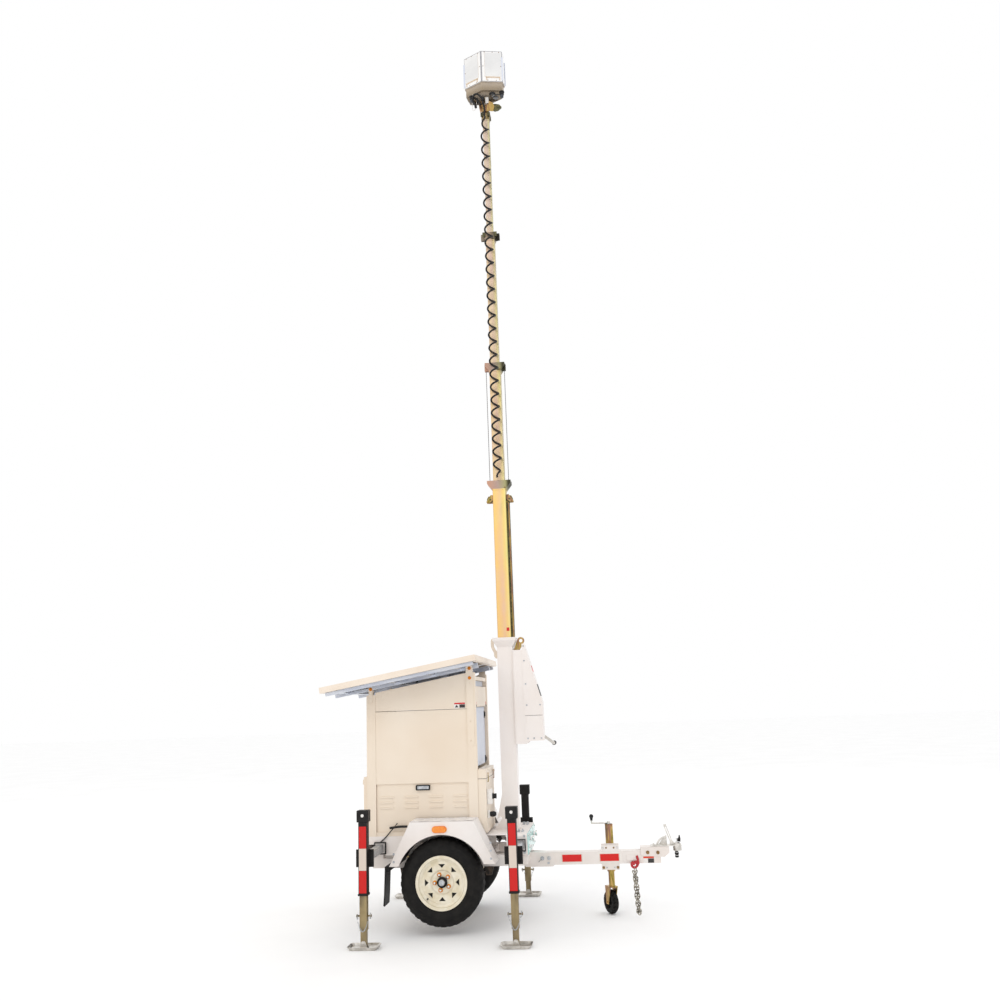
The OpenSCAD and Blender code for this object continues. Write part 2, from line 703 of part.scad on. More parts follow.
// One moving section: a box tube with a flared head and wear pads low on each face
module section(i) color(ZINC) translate([mast_x, 0, 0]) {
    s = section_s[i];
    top = section_top[i];
    bottom = top - section_l[i];
    outer_bore = i == 0 ? column_s - 2 * column_wall : section_s[i - 1] - 2 * section_wall;
    inner = s - 2 * section_wall;
    head = flare_s[i];
    difference() {
        union() {
            translate([0, 0, bottom]) tube_z(s, section_wall, section_l[i]);
            side_extrude(-s / 2 - 3, s / 2 + 3) polygon([[-s / 2, top - 84], [s / 2, top - 84],
                [head / 2, top - 24], [head / 2, top], [-head / 2, top], [-head / 2, top - 24]]);
        }
        translate([0, 0, top - 90]) linear_extrude(height = 100) square(inner, center = true);
    }
    // wear pads, a running gap short of the bore they slide in
    pad_t = (outer_bore - s) / 2 - gap;
    for (a = [0, 90, 180, 270]) rotate(a)
        translate([s / 2, -s / 2 + 8, bottom + 10]) cube([pad_t, s - 16, pad_h]);
    // rope brackets either side of the head
    if (i < 3) for (d = [-1, 1]) for (y = [-14, 10])
        translate([d > 0 ? s / 2 : -s / 2 - 46, y, top - (i == 0 ? 190 : 66)]) cube([46, 4, 60]);
    if (i == 0) for (d = [-1, 1]) mast_pulley(d);
}

// A rope pulley on its pin, between the first section's brackets
module mast_pulley(d) translate([d * (section_s[0] / 2 + 26), 0, section_top[0] - 160]) {
    cyl_y(21, 16);
    cyl_y(5, 30);
}

// Two ropes from the second section's head down to the first section's pulleys
module lift_ropes() color("#8c8f92") for (d = [-1, 1])
    translate([mast_x + d * (section_s[0] / 2 + 26), 0, section_top[0] + gap])
        cylinder(r = 3, h = section_top[1] - section_top[0] - 66 - 2 * gap);

module lifting_eye() color(ZINC) side_extrude(-4, 4) difference() {
    union() {
        translate([mast_x + 131, 2180]) circle(r = 30);
        polygon([[mast_x + column_s / 2 + 5 + gap, 2112], [mast_x + column_s / 2 + 5 + gap, 2070],
            [mast_x + 100, 2070], [mast_x + 160, 2172], [mast_x + 103, 2190]]);
    }
    translate([mast_x + 131, 2180]) circle(r = 14);
}

COVER = [[627, 1365], [778, 1365], [778, 1672], [645, 2150], [627, 2150]];

module winch_cover() color(PAINT) {
    side_extrude(-cover_w / 2, -cover_w / 2 + 2.5) difference() {
        polygon(COVER);
        translate([620, 1500]) square([24, 58]);
    }
    side_extrude(cover_w / 2 - 2.5, cover_w / 2) difference() {
        polygon(COVER);
        translate([winch_x, winch_z]) circle(r = winch_shaft_r + 3);
        translate([620, 1500]) square([24, 58]);
    }
    for (i = [1:2]) sheet_strip(COVER[i + 1], COVER[i], 2.5, -cover_w / 2 + 2.5, cover_w / 2 - 2.5);
    span([627, -cover_w / 2 + 2.5, 1365], [775, cover_w / 2 - 2.5, 1367.5]);
    // side plates bolted to the column, with the shaft bearings
    both_sides() side_extrude(-cover_w / 2 + 2.5 + gap, -cover_w / 2 + 7) difference() {
        polygon([[mast_x + column_s / 2 + 5 + gap, 1342], [640, 1342], [700, 1400], [700, 1540],
            [640, 1700], [636, 2100], [mast_x + column_s / 2 + 5 + gap, 2100]]);
        translate([winch_x, winch_z]) circle(r = winch_shaft_r + 0.06);
    }
}

module winch_crank() {
    knob_y = cover_w / 2 + 30;
    color(STEEL) {
        translate([winch_x, knob_y / 2 - 34, winch_z]) cyl_y(winch_shaft_r, knob_y + 84);
        translate([winch_x, 0, winch_z]) cyl_y(34, 100);
        for (y = [-53, 53]) translate([winch_x, y, winch_z]) cyl_y(58, 6);
        translate([winch_x, knob_y, winch_z]) rotate([90, crank_angle, 0])
            linear_extrude(height = 6, center = true) translate([crank_arm / 2, 0]) slot_2d(crank_arm + 24, 24);
        translate([winch_x + crank_arm * cos(crank_angle), knob_y + 40, winch_z - crank_arm * sin(crank_angle)])
            cyl_y(6, 84);
    }
    color(BLACK) translate([winch_x + crank_arm * cos(crank_angle), knob_y + 52, winch_z - crank_arm * sin(crank_angle)])
        difference() {
            cyl_y(16, 88);
            translate([0, -10, 0]) cyl_y(6.05, 90);
        }
}

// ---------- mast head ----------

head_z = 7430;
head_turn = -8.5;
module head_plan(w, d) polygon([[-w / 2, -d * 0.18], [0, -d / 2], [w / 2, -d * 0.18],
                               [w / 2, d * 0.18], [0, d / 2], [-w / 2, d * 0.18]]);

module head_neck() color(ZINC) translate([mast_x, 0, 0]) {
    z0 = section_top[3] + gap;
    translate([-32, -32, z0]) cube([64, 64, 10]);
    neck_top = head_z - 128 + 33 - 2 * gap;
    difference() {
        translate([-28, -26, z0 + 10]) cube([56, 52, neck_top - z0 - 10]);
        translate([-22, -40, z0 + 20]) cube([44, 80, neck_top - z0 - 34]);
    }
    translate([0, 0, neck_top]) cylinder(r = 22, h = 13);
}

module head_tray() color("#cfc5b6") translate([mast_x, 0, head_z - 128 - gap]) rotate(head_turn) difference() {
    union() {
        translate([0, 0, 40]) linear_extrude(height = 88) head_plan(head_w - 20, head_d - 16);
        linear_extrude(height = 41) head_plan(head_w - 60, head_d - 50);
        translate([0, 0, 121]) linear_extrude(height = 7) head_plan(head_w - 2, head_d - 2);
    }
    translate([0, 0, -1]) linear_extrude(height = 34) square([head_w - 150, head_d - 130], center = true);
    translate([0, 0, 46]) linear_extrude(height = 90) head_plan(head_w - 30, head_d - 26);
    translate([0, 0, -1]) cylinder(r = 22 + gap, h = 60);
}

module head_housing() color("#e9e8e8") translate([mast_x, 0, head_z]) rotate(head_turn) difference() {
    linear_extrude(height = head_h) head_plan(head_w, head_d);
    translate([0, 0, -1]) linear_extrude(height = head_h - 3) head_plan(head_w - 10, head_d - 8);
}

// ---------- cables ----------

coil_r = 36;
coil_low = [mast_x + 7, -92, section_top[0] + gap];
coil_high = [mast_x + 32, -84, 7080];
// Outer shape of the curly cable, from the first section's head to the fourth section's head
module coil_cable() color(BLACK) {
    d = coil_high - coil_low;
    translate(coil_low) rotate([0, acos(d[2] / norm(d)), atan2(d[1], d[0])]) cylinder(r = coil_r, h = norm(d));
}

head_cable_r = 9;
// Lead from the curly cable's top, out in a loop, and up into the head tray
HEAD_CABLE = [[mast_x + 32, -84, 7081.1], [mast_x + 30, -82, 7120], [mast_x + 8, -92, 7160], [mast_x - 12, -96, 7205],
    [mast_x - 22, -98, 7250], [mast_x - 44, -100, 7290], [mast_x - 78, -98, 7310], [mast_x - 104, -88, 7290],
    [mast_x - 112, -72, 7258], [mast_x - 104, -52, 7236], [mast_x - 88, -34, 7240], [mast_x - 76, -24, 7262],
    [mast_x - 72, -20, 7300], [mast_x - 72, -20, 7334]];

// A round tube swept along points, as one polyhedron
function unit(v) = v / norm(v);
function tangent(p, i) = unit(p[min(i + 1, len(p) - 1)] - p[max(i - 1, 0)]);
function smooth(p, n) = [for (i = [0:len(p) - 2]) for (j = [0:n - 1]) let(
    t = j / n, a = p[max(i - 1, 0)], b = p[i], c = p[i + 1], d = p[min(i + 2, len(p) - 1)])
    0.5 * (2 * b + (c - a) * t + (2 * a - 5 * b + 4 * c - d) * t * t + (3 * b - a - 3 * c + d) * t * t * t),
    p[len(p) - 1]];
module swept_tube(points, r, sides = 10) {
    p = smooth(points, 2);
    side_dir = [for (i = [0:len(p) - 1]) let(t = tangent(p, i)) unit(cross(t, abs(t[1]) < 0.9 ? [0, 1, 0] : [1, 0, 0]))];
    rings = [for (i = [0:len(p) - 1]) let(t = tangent(p, i), u = side_dir[i], v = cross(t, u))
        for (k = [0:sides - 1]) p[i] + r * (cos(k * 360 / sides) * u + sin(k * 360 / sides) * v)];
    n = len(p);
    polyhedron(points = rings, faces = concat(
        [[for (k = [0:sides - 1]) k]],
        [for (i = [0:n - 2]) for (k = [0:sides - 1]) let(a = i * sides + k, b = i * sides + (k + 1) % sides)
            each [[b, a, a + sides], [b, a + sides, b + sides]]],
        [[for (k = [sides - 1:-1:0]) (n - 1) * sides + k]]));
}

module head_cable() color(BLACK) swept_tube(HEAD_CABLE, head_cable_r);

// ---------- outriggers ----------

// Moves a leg drawn about its own centre line, outer face towards -Y, to its corner
module at_leg(id) translate([leg_x(id), 0, 0]) mirror([0, leg_side(id) > 0 ? 1 : 0, 0])
    translate([0, -leg_y, 0]) children();

module outrigger(id) at_leg(id) {
    tube_in = leg_s / 2;
    arm_end = leg_y - arm_overlap;
    color(STEEL) difference() {
        span([-arm_s / 2, tube_in + plate_t, arm_z - arm_s / 2], [arm_s / 2, arm_end, arm_z + arm_s / 2]);
        span([-arm_s / 2 + arm_wall, tube_in + plate_t - 1, arm_z - arm_s / 2 + arm_wall],
             [arm_s / 2 - arm_wall, arm_end + 1, arm_z + arm_s / 2 - arm_wall]);
    }
    color(BLACK) {
        translate([0, 0, leg_bottom]) tube_z(leg_s, leg_wall, leg_top - leg_bottom);
        difference() {
            translate([0, tube_in + plate_t, arm_z]) rotate([90, 0, 0]) linear_extrude(height = plate_t)
                square([plate_l, plate_h], center = true);
            for (x = [-52, 52]) for (z = [-46, 46]) translate([x, tube_in, arm_z + z]) cyl_y(5.5, 60);
        }
        // gear cap with its crank socket
        difference() {
            translate([-cap_w / 2, -leg_s / 2 - 5, leg_top]) cube([cap_w, leg_s + 10, cap_h]);
            translate([0, -leg_s / 2 - 5, leg_top + 46]) cyl_y(8, 30);
        }
        translate([0, -leg_s / 2 + 2, leg_top + 46]) cyl_y(6, 20);
    }
}

module drop_leg(id) color("#9b8f78") at_leg(id) {
    wall = (drop_s - stem_s) / 2;
    difference() {
        union() {
            translate([0, 0, drop_bottom]) tube_z(drop_s, wall, drop_top - drop_bottom);
            translate([-stem_s / 2, -stem_s / 2, foot_z - 27]) cube([stem_s, stem_s, stem_top - foot_z + 27]);
        }
        translate([0, 0, foot_z]) cyl_y(foot_bolt_r + 0.05, drop_s + 2);
    }
    // wear strips near the top of the leg
    for (a = [0, 90, 180, 270]) rotate(a) translate([drop_s / 2, -12, drop_top - 80])
        cube([leg_s / 2 - leg_wall - drop_s / 2 - gap, 24, 60]);
    // quick pin through the leg and its stem
    translate([0, 0, pin_z]) {
        cyl_x(pin_r, drop_s + 56);
        for (s = [-1, 1]) translate([s * (drop_s / 2 + 26), 0, 0]) cyl_x(10, 5);
    }
}

module foot(id) color(STEEL) at_leg(id) {
    linear_extrude(height = pad_t) slot_2d(pad_l - 36, pad_w - 30);
    difference() {
        translate([0, 0, pad_t]) frustum_pad();
        translate([0, 0, pad_t + 5]) frustum_pad();
    }
    for (y = [-stem_s / 2 - 6 - gap, stem_s / 2 + gap]) side_extrude(y, y + 6)
        polygon([[-30, pad_t], [30, pad_t], [15, foot_z + 12], [-15, foot_z + 12]]);
    translate([0, 0, foot_z]) cyl_y(foot_bolt_r, stem_s + 30);
}

// Dished rim of a foot pad: the pad outline growing upwards
module frustum_pad() intersection() {
    rotate([90, 0, 0]) linear_extrude(height = pad_w, center = true)
        polygon([[-pad_l / 2 + 22, 0], [pad_l / 2 - 22, 0], [pad_l / 2, 22], [-pad_l / 2, 22]]);
    rotate([90, 0, 90]) linear_extrude(height = pad_l + 2, center = true)
        polygon([[-pad_w / 2 + 18, 0], [pad_w / 2 - 18, 0], [pad_w / 2, 22], [-pad_w / 2, 22]]);
}

// ---------- jockey jack ----------

module jack_body() {
    color(ZINC) translate([jack_x, jack_y, 0]) {
        difference() {
            translate([0, 0, jack_bottom]) cylinder(r = jack_r, h = jack_top - jack_bottom);
            translate([0, 0, jack_bottom - 1]) cylinder(r = jack_in_r, h = jack_top - jack_bottom - 5);
            cylinder(r = 8.05, h = 1000);
        }
    }
    // clamp: two plates across the drawbar, above and below it, drawn up by bolts
    color(PAINT) difference() {
        union() {
            for (z = [drawbar_z + drawbar_s / 2 + 8, drawbar_z - drawbar_s / 2 - 44])
                for (y = [-drawbar_s / 2 - 6, drawbar_s / 2]) span([jack_x - 70, y, z], [jack_x + 70, y + 6, z + 36]);
            for (z = [drawbar_z + drawbar_s / 2, drawbar_z - drawbar_s / 2 - 8])
                span([jack_x - 70, -drawbar_s / 2 - 6, z], [jack_x + 70, drawbar_s / 2 + 6, z + 8]);
            for (z = [drawbar_z + drawbar_s / 2 + 14, drawbar_z - drawbar_s / 2 - 38])
                span([jack_x - 44, drawbar_s / 2 + 6, z], [jack_x + 44, jack_y + 10, z + 24]);
        }
        translate([jack_x, jack_y, jack_bottom - 20]) cylinder(r = jack_r, h = jack_top);
    }
    color(STEEL) for (x = [-56, 56]) for (z = [drawbar_z + drawbar_s / 2 + 26, drawbar_z - drawbar_s / 2 - 26])
        translate([jack_x + x, 0, z]) cyl_y(5, drawbar_s + 30);
}

module jack_slide() color(ZINC) translate([jack_x, jack_y, 0]) {
    difference() {
        translate([0, 0, fork_top]) cylinder(r = jack_tube_r, h = jack_slide_top - fork_top);
        translate([0, 0, fork_top + 12]) cylinder(r = jack_tube_r - 3, h = 500);
    }
    // guide collars that run in the outer tube
    for (z = [jack_bottom + 113, jack_slide_top - 30]) translate([0, 0, z]) difference() {
        cylinder(r = jack_in_r - 0.08, h = 24);
        translate([0, 0, -1]) cylinder(r = jack_tube_r, h = 26);
    }
    translate([0, 0, fork_top - 14]) cylinder(r = 10, h = 14);
}

module on_fork() translate([jack_x, jack_y, 0]) rotate(jockey_yaw) children();

module jockey_fork() color(ZINC) on_fork() {
    difference() {
        span([-trail - 28, -jockey_w / 2 - 8, fork_top - 8 - gap], [30, jockey_w / 2 + 8, fork_top - gap]);
        translate([0, 0, fork_top - 20]) cylinder(r = 10.06, h = 30);
    }
    for (s = [-1, 1]) side_extrude(s > 0 ? jockey_w / 2 + 3 : -jockey_w / 2 - 8, s > 0 ? jockey_w / 2 + 8 : -jockey_w / 2 - 3)
        difference() {
            polygon([[-trail - 28, fork_top - 8 - gap], [30, fork_top - 8 - gap], [-trail + 18, jockey_z - 16],
                     [-trail - 18, jockey_z - 16]]);
            translate([-trail, jockey_z]) circle(r = jockey_axle_r + 0.05);
        }
    translate([-trail, 0, jockey_z]) cyl_y(jockey_axle_r, jockey_w + 30);
}

module jockey_wheel() on_fork() translate([-trail, 0, jockey_z]) rotate([90, 0, 0]) {
    r = jockey_d / 2;
    w = jockey_w / 2;
    color(BLACK) difference() {
        rotate_extrude($fn = 72) polygon([[52, -w], [r - 12, -w], [r, -w + 14], [r, w - 14], [r - 12, w], [52, w]]);
        for (i = [0:17]) rotate(i * 20) for (s = [-1, 1]) translate([r - 6, s * 4, s * w * 0.62])
            rotate([s * 32, 0, 0]) cube([14, 9, w * 1.1], center = true);
    }
    color("#b3282d") difference() {
        union() {
            translate([0, 0, -w + 6]) cylinder(r = 52 - gap / 2, h = 2 * w - 12);
            cylinder(r = 20, h = 2 * w + 3, center = true);
        }
        cylinder(r = jockey_axle_r + 0.06, h = 100, center = true);
        for (s = [-1, 1]) translate([0, 0, s > 0 ? 8 : -w - 1]) difference() {
            cylinder(r = 46, h = w - 7);
            cylinder(r = 22, h = w);
        }
    }
}

module jack_crank() translate([jack_x, jack_y, 0]) {
    color(STEEL) {
        translate([0, 0, jack_top - 26]) cylinder(r = 8, h = 40);
        translate([0, 0, jack_top + gap]) cylinder(r = 14, h = 20);
        translate([0, 0, jack_top + 8]) rotate([0, -90, 0]) cylinder(r = 6, h = 137);
        translate([-137, 0, jack_top + 2]) cylinder(r = 6, h = 26);
    }
    color(BLACK) translate([-137, 0, jack_top + 28]) {
        cylinder(r1 = 9, r2 = 12, h = 22);
        translate([0, 0, 34]) sphere(r = 17);
    }
}

// ---------- coupling ----------

module coupling_body() {
    // mounting cheeks on the drawbar's nose
    color(PAINT) {
        both_sides() side_extrude(-drawbar_s / 2 - 6, -drawbar_s / 2) polygon([[1500, coupling_z],
            [1500, 470], [1506, 462], [1680, 448], [1722, 478], [1724, coupling_z]]);
        span([1500, -drawbar_s / 2 - 6, coupling_z], [1724, drawbar_s / 2 + 6, coupling_z + 6]);
    }
    color(STEEL) {
        span([1580, -36, coupling_z + 6], [coupling_x - 30, 36, coupling_z + 12]);
        difference() {
            union() {
                translate([coupling_x, 0, coupling_z + 4]) sphere(r = ball_d / 2 + 8);
                translate([coupling_x, 0, coupling_z - 30]) cylinder(r = ball_d / 2 + 8, h = 34);
                span([coupling_x - 60, -26, coupling_z + 4], [coupling_x, 26, coupling_z + 12]);
            }
            translate([coupling_x, 0, coupling_z - 40]) cylinder(r = ball_d / 2, h = 38);
            translate([coupling_x, 0, coupling_z - 2]) sphere(r = ball_d / 2);
        }
        // toothed brake quadrant and the lever's pivot cheeks
        side_extrude(14, 20) difference() {
            translate([lever_x, lever_z - 6]) circle(r = 92);
            translate([lever_x, lever_z - 6]) circle(r = 78);
            translate([lever_x - 40, lever_z - 200]) square([240, 400]);
            translate([lever_x - 140, lever_z - 215]) square([300, 188]);
        }
        both_sides() side_extrude(-13, -8 - gap) difference() {
            union() {
                translate([lever_x, lever_z]) circle(r = 16);
                translate([lever_x - 16, coupling_z + 10]) square([32, lever_z - coupling_z - 10]);
            }
            translate([lever_x, lever_z]) circle(r = 7.05);
        }
        translate([coupling_x, 0, coupling_z + 34]) cylinder(r1 = 8, r2 = 3, h = 40);
    }
}

module coupling_lever() color(STEEL) {
    translate([lever_x, 0, lever_z]) cyl_y(7, 30);
    side_extrude(-8, 8) difference() {
        polygon([[lever_x - 11, lever_z - 6], [lever_x + 11, lever_z - 6], [lever_x - 38, lever_z + 142],
                 [lever_x - 62, lever_z + 138]]);
        polygon([[lever_x - 12, lever_z + 24], [lever_x - 6, lever_z + 24], [lever_x - 40, lever_z + 124],
                 [lever_x - 46, lever_z + 122]]);
    }
}

// Safety chain: flat-sided links, each turned a quarter from the last, hung from a shackle
module safety_chain() {
    link_l = 42;
    link_w = 28;
    bar = 7;
    pitch = link_l - 2 * bar - gap;
    chain_y = -drawbar_s / 2 - 20;
    chain_top = 412;
    color("#b3282d") translate([1452, -drawbar_s / 2 - 20, 0]) {
        span([-7, 8, 424], [7, 20 - gap, 452]);
        side_extrude(-4, 8) difference() {
            translate([0, 424]) circle(r = 20);
            translate([0, 424]) circle(r = 11);
        }
    }
    color(STEEL) for (i = [0:13]) translate([1452, chain_y, chain_top - 17 - i * pitch])
        rotate([90, 0, i % 2 == 0 ? 90 : 0]) linear_extrude(height = bar, center = true) difference() {
            rotate(90) slot_2d(link_l, link_w);
            rotate(90) slot_2d(link_l - 2 * bar, link_w - 2 * bar);
        }
}

// ---------- assembly ----------

module placed(name) translate([-x_mid, 0, 0]) children();

placed("chassis_frame") chassis_frame();
placed("mast_base") mast_base();
placed("drawbar") drawbar();
placed("axle_beam") axle_beam();
placed("leaf_springs") leaf_springs();
placed("fenders") fenders();
placed("mudflaps") mudflaps();
placed("marker_lamps") marker_lamps();
placed("cabinet_frame") cabinet_frame();
placed("side_panels") side_panels();
placed("louvre_panels") louvre_panels();
placed("front_cover") front_cover();
placed("front_locker") front_locker();
placed("batteries") batteries();
placed("mast_column") mast_column();
placed("winch_cover") winch_cover();
placed("lifting_eye") lifting_eye();
placed("jack_body") jack_body();
placed("coupling_body") coupling_body();
placed("safety_chain") safety_chain();
placed("rear_door") rear_door();
placed("locker_lid") locker_lid();
placed("lid_latches") lid_latches();
placed("array_frame") array_frame();
placed("solar_panels") solar_panels();
placed("tilt_straps") tilt_straps();
for (i = [0:3]) placed(str("mast_section_", i + 1)) section(i);
placed("head_neck") head_neck();
placed("head_housing") head_housing();
placed("head_tray") head_tray();
placed("coil_cable") coil_cable();
placed("head_cable") head_cable();
placed("lift_ropes") lift_ropes();
placed("winch_crank") winch_crank();
for (s = SIDES) {
    placed(str("tyre_", s)) tyre(s);
    placed(str("rim_", s)) rim(s);
    placed(str("hub_", s)) hub(s);
}
for (id = LEGS) {
    placed(str("outrigger_", id)) outrigger(id);
    placed(str("drop_leg_", id)) drop_leg(id);
    placed(str("foot_", id)) foot(id);
}
placed("jack_slide") jack_slide();
placed("jockey_fork") jockey_fork();
placed("jockey_wheel") jockey_wheel();
placed("jack_crank") jack_crank();
placed("coupling_lever") coupling_lever();
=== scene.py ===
# Solar mast trailer: finishes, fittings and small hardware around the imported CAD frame.
# Shapes are worked out in millimetres from the wheel centre, the trailer's centre plane and
# the ground, and turned to the frame's metres by one function.
import math

import bmesh
import bpy
from mathutils import Matrix, Vector


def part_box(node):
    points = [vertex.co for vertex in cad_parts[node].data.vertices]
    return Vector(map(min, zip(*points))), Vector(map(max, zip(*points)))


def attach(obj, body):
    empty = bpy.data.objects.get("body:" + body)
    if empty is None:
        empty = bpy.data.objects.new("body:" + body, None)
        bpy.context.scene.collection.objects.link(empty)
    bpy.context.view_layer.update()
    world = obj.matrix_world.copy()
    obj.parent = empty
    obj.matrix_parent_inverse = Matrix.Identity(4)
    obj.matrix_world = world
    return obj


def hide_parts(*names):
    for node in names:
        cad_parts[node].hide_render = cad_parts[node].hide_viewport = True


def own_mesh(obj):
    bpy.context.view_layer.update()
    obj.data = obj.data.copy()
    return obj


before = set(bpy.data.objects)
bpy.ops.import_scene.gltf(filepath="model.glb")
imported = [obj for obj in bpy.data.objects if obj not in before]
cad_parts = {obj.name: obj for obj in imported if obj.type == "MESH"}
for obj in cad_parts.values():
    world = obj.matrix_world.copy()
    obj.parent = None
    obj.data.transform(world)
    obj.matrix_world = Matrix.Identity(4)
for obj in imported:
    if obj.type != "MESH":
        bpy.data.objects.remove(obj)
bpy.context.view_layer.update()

MM = 0.001
tyre_low, tyre_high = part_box("tyre_right")
WHEEL_X = (tyre_low[0] + tyre_high[0]) / 2
LEGS = {"rr": (-510, -1), "rl": (-575, 1), "fr": (580, -1), "fl": (515, 1)}
SIDES = {"right": -1, "left": 1}
AXLE_Z = 375
MAST_X = 484
HEAD_Z = 7430
HEAD_TURN = math.radians(-8.5)


def spot(x, y, z):
    """A place in millimetres, in the frame's metres."""
    return Vector((x * MM + WHEEL_X, y * MM, z * MM))


# ---------- camera ----------------------------------------------------

FOCAL = 947.92
yaw, pitch, roll = 0.1066, 0.2108, -0.0369
view_way = Vector((-math.sin(yaw) * math.cos(pitch), math.cos(yaw) * math.cos(pitch), math.sin(pitch)))
level = Vector((math.cos(yaw), math.sin(yaw), 0))
above = level.cross(view_way)
right = math.cos(roll) * level + math.sin(roll) * above
up = math.cos(roll) * above - math.sin(roll) * level
camera_data = bpy.data.cameras.new("camera")
camera_data.sensor_width = 36
camera_data.lens = FOCAL * 36 / 1000
camera_data.clip_end = 200
camera = bpy.data.objects.new("camera", camera_data)
bpy.context.scene.collection.objects.link(camera)
camera.matrix_world = Matrix.Translation(spot(1340, -8002.5, 1674.7)) @ Matrix(
    (right, up, -view_way)).transposed().to_4x4()
bpy.context.scene.camera = camera


# ---------- materials ----------

def linear(code):
    """An sRGB hex colour as linear red, green, blue and alpha."""
    parts = [int(code[i:i + 2], 16) / 255 for i in (1, 3, 5)]
    return tuple(c / 12.92 if c <= 0.04045 else ((c + 0.055) / 1.055) ** 2.4 for c in parts) + (1.0,)


def add(material, kind, settings=None, links=None):
    """Adds one shader node.

    Settings name its sockets or its own properties; links name sockets and their sources.
    """
    item = material.node_tree.nodes.new(kind)
    plain = {k: v for k, v in (settings or {}).items() if not (isinstance(k, int) or k in item.inputs)}
    for name, value in plain.items():
        setattr(item, name, value)
    for name, value in (settings or {}).items():
        if name not in plain:
            item.inputs[name].default_value = value
    for name, source in (links or {}).items():
        material.node_tree.links.new(source, item.inputs[name])
    return item


def finish(name, colour, roughness, metallic=0.0, ior=None, **sockets):
    """A new material with its shader's plain values set.

    Returns the material, its shader and its object coordinates.
    """
    material = bpy.data.materials.new(name)
    material.use_nodes = True
    shader = material.node_tree.nodes["Principled BSDF"]
    shader.inputs["Base Color"].default_value = linear(colour)
    shader.inputs["Roughness"].default_value = roughness
    shader.inputs["Metallic"].default_value = metallic
    if ior:
        shader.inputs["IOR"].default_value = ior
    for socket, value in sockets.items():
        shader.inputs[socket.replace("_", " ")].default_value = value
    place = add(material, "ShaderNodeTexCoord").outputs["Object"]
    return material, shader, place


def per_metre(millimetres):
    """Texture scale that gives features of this size."""
    return 1000 / millimetres


def drift(material, place, size, low, high, low_at=0.35, high_at=0.65, detail=3.0, stretch=(1, 1, 1)):
    """Colour that wanders between two shades over patches of a real size in millimetres."""
    spread = add(material, "ShaderNodeMapping", {"Scale": stretch}, {"Vector": place})
    cloud = add(material, "ShaderNodeTexNoise", {"Scale": per_metre(size), "Detail": detail},
                {"Vector": spread.outputs[0]})
    ramp = add(material, "ShaderNodeValToRGB", links={"Fac": cloud.outputs["Fac"]})
    ramp.color_ramp.elements[0].color, ramp.color_ramp.elements[1].color = linear(low), linear(high)
    ramp.color_ramp.elements[0].position, ramp.color_ramp.elements[1].position = low_at, high_at
    return ramp.outputs["Color"]


def grit(material, shader, place, size, height, stretch=(1, 1, 1), detail=2.0):
    """Fine relief of a real size, with its height in millimetres."""
    spread = add(material, "ShaderNodeMapping", {"Scale": stretch}, {"Vector": place})
    grain = add(material, "ShaderNodeTexNoise", {"Scale": per_metre(size), "Detail": detail},
                {"Vector": spread.outputs[0]})
    bump = add(material, "ShaderNodeBump", {"Strength": 1.0, "Distance": height * MM},
               {"Height": grain.outputs["Fac"]})
    material.node_tree.links.new(bump.outputs[0], shader.inputs["Normal"])
    return bump


def gloss_drift(material, shader, place, size, low, high):
    """Roughness that wanders between two values, as on a handled or weathered surface."""
    cloud = add(material, "ShaderNodeTexNoise", {"Scale": per_metre(size), "Detail": 4.0}, {"Vector": place})
    spread = add(material, "ShaderNodeMapRange",
                 {"From Min": 0.3, "From Max": 0.7, "To Min": low, "To Max": high},
                 {"Value": cloud.outputs["Fac"]})
    material.node_tree.links.new(spread.outputs[0], shader.inputs["Roughness"])


def grime_near_ground(material, clean, dust, top):
    """Road dust that thins out with height, up to a height in millimetres."""
    height = add(material, "ShaderNodeSeparateXYZ",
                 links={"Vector": add(material, "ShaderNodeTexCoord").outputs["Object"]})
    blotch = add(material, "ShaderNodeTexNoise", {"Scale": per_metre(90), "Detail": 6.0},
                 {"Vector": add(material, "ShaderNodeTexCoord").outputs["Object"]})
    fade = add(material, "ShaderNodeMapRange",
               {"From Min": 0.0, "From Max": top * MM, "To Min": 0.55, "To Max": 0.0},
               {"Value": height.outputs["Z"]})
    much = add(material, "ShaderNodeMath", {"operation": "MULTIPLY"},
               {0: fade.outputs[0], 1: blotch.outputs["Fac"]})
    mix = add(material, "ShaderNodeMix", {"data_type": "RGBA", 7: linear(dust)},
              {0: much.outputs[0], 6: clean})
    return mix.outputs[2]


def link_colour(material, shader, colour):
    material.node_tree.links.new(colour, shader.inputs["Base Color"])


# Polyester powder coat on steel sheet, baked on: warm off-white with a fine orange peel
def powder_coat(name, base, low, high, dust):
    material, shader, place = finish(name, base, 0.38, ior=1.5)
    base = drift(material, place, 700, low, high)
    link_colour(material, shader, grime_near_ground(material, base, dust, 900))
    grit(material, shader, place, 5, 0.05)
    gloss_drift(material, shader, place, 160, 0.33, 0.46)
    return material


cream_powder = powder_coat("cream_polyester_powder_coat", "#EBDDCB", "#ECDFCE", "#E6D6C2", "#B9A88E")
white_powder = powder_coat("white_polyester_powder_coat", "#EEE8E4", "#F0EBE8", "#E9E0DA", "#BBAA94")

# Painted shade: the cream powder coat given a cool grey-blue tint, standing for shade on sheet that faces away
# from the light, in the cabinet recess and on inner faces
cream_powder_painted_shade, shader, place = finish("cream_powder_coat_painted_shade", "#D5DAE6", 0.42, ior=1.5)
link_colour(cream_powder_painted_shade, shader, drift(cream_powder_painted_shade, place, 500, "#D8DCE7", "#CCD3E2"))
grit(cream_powder_painted_shade, shader, place, 5, 0.05)

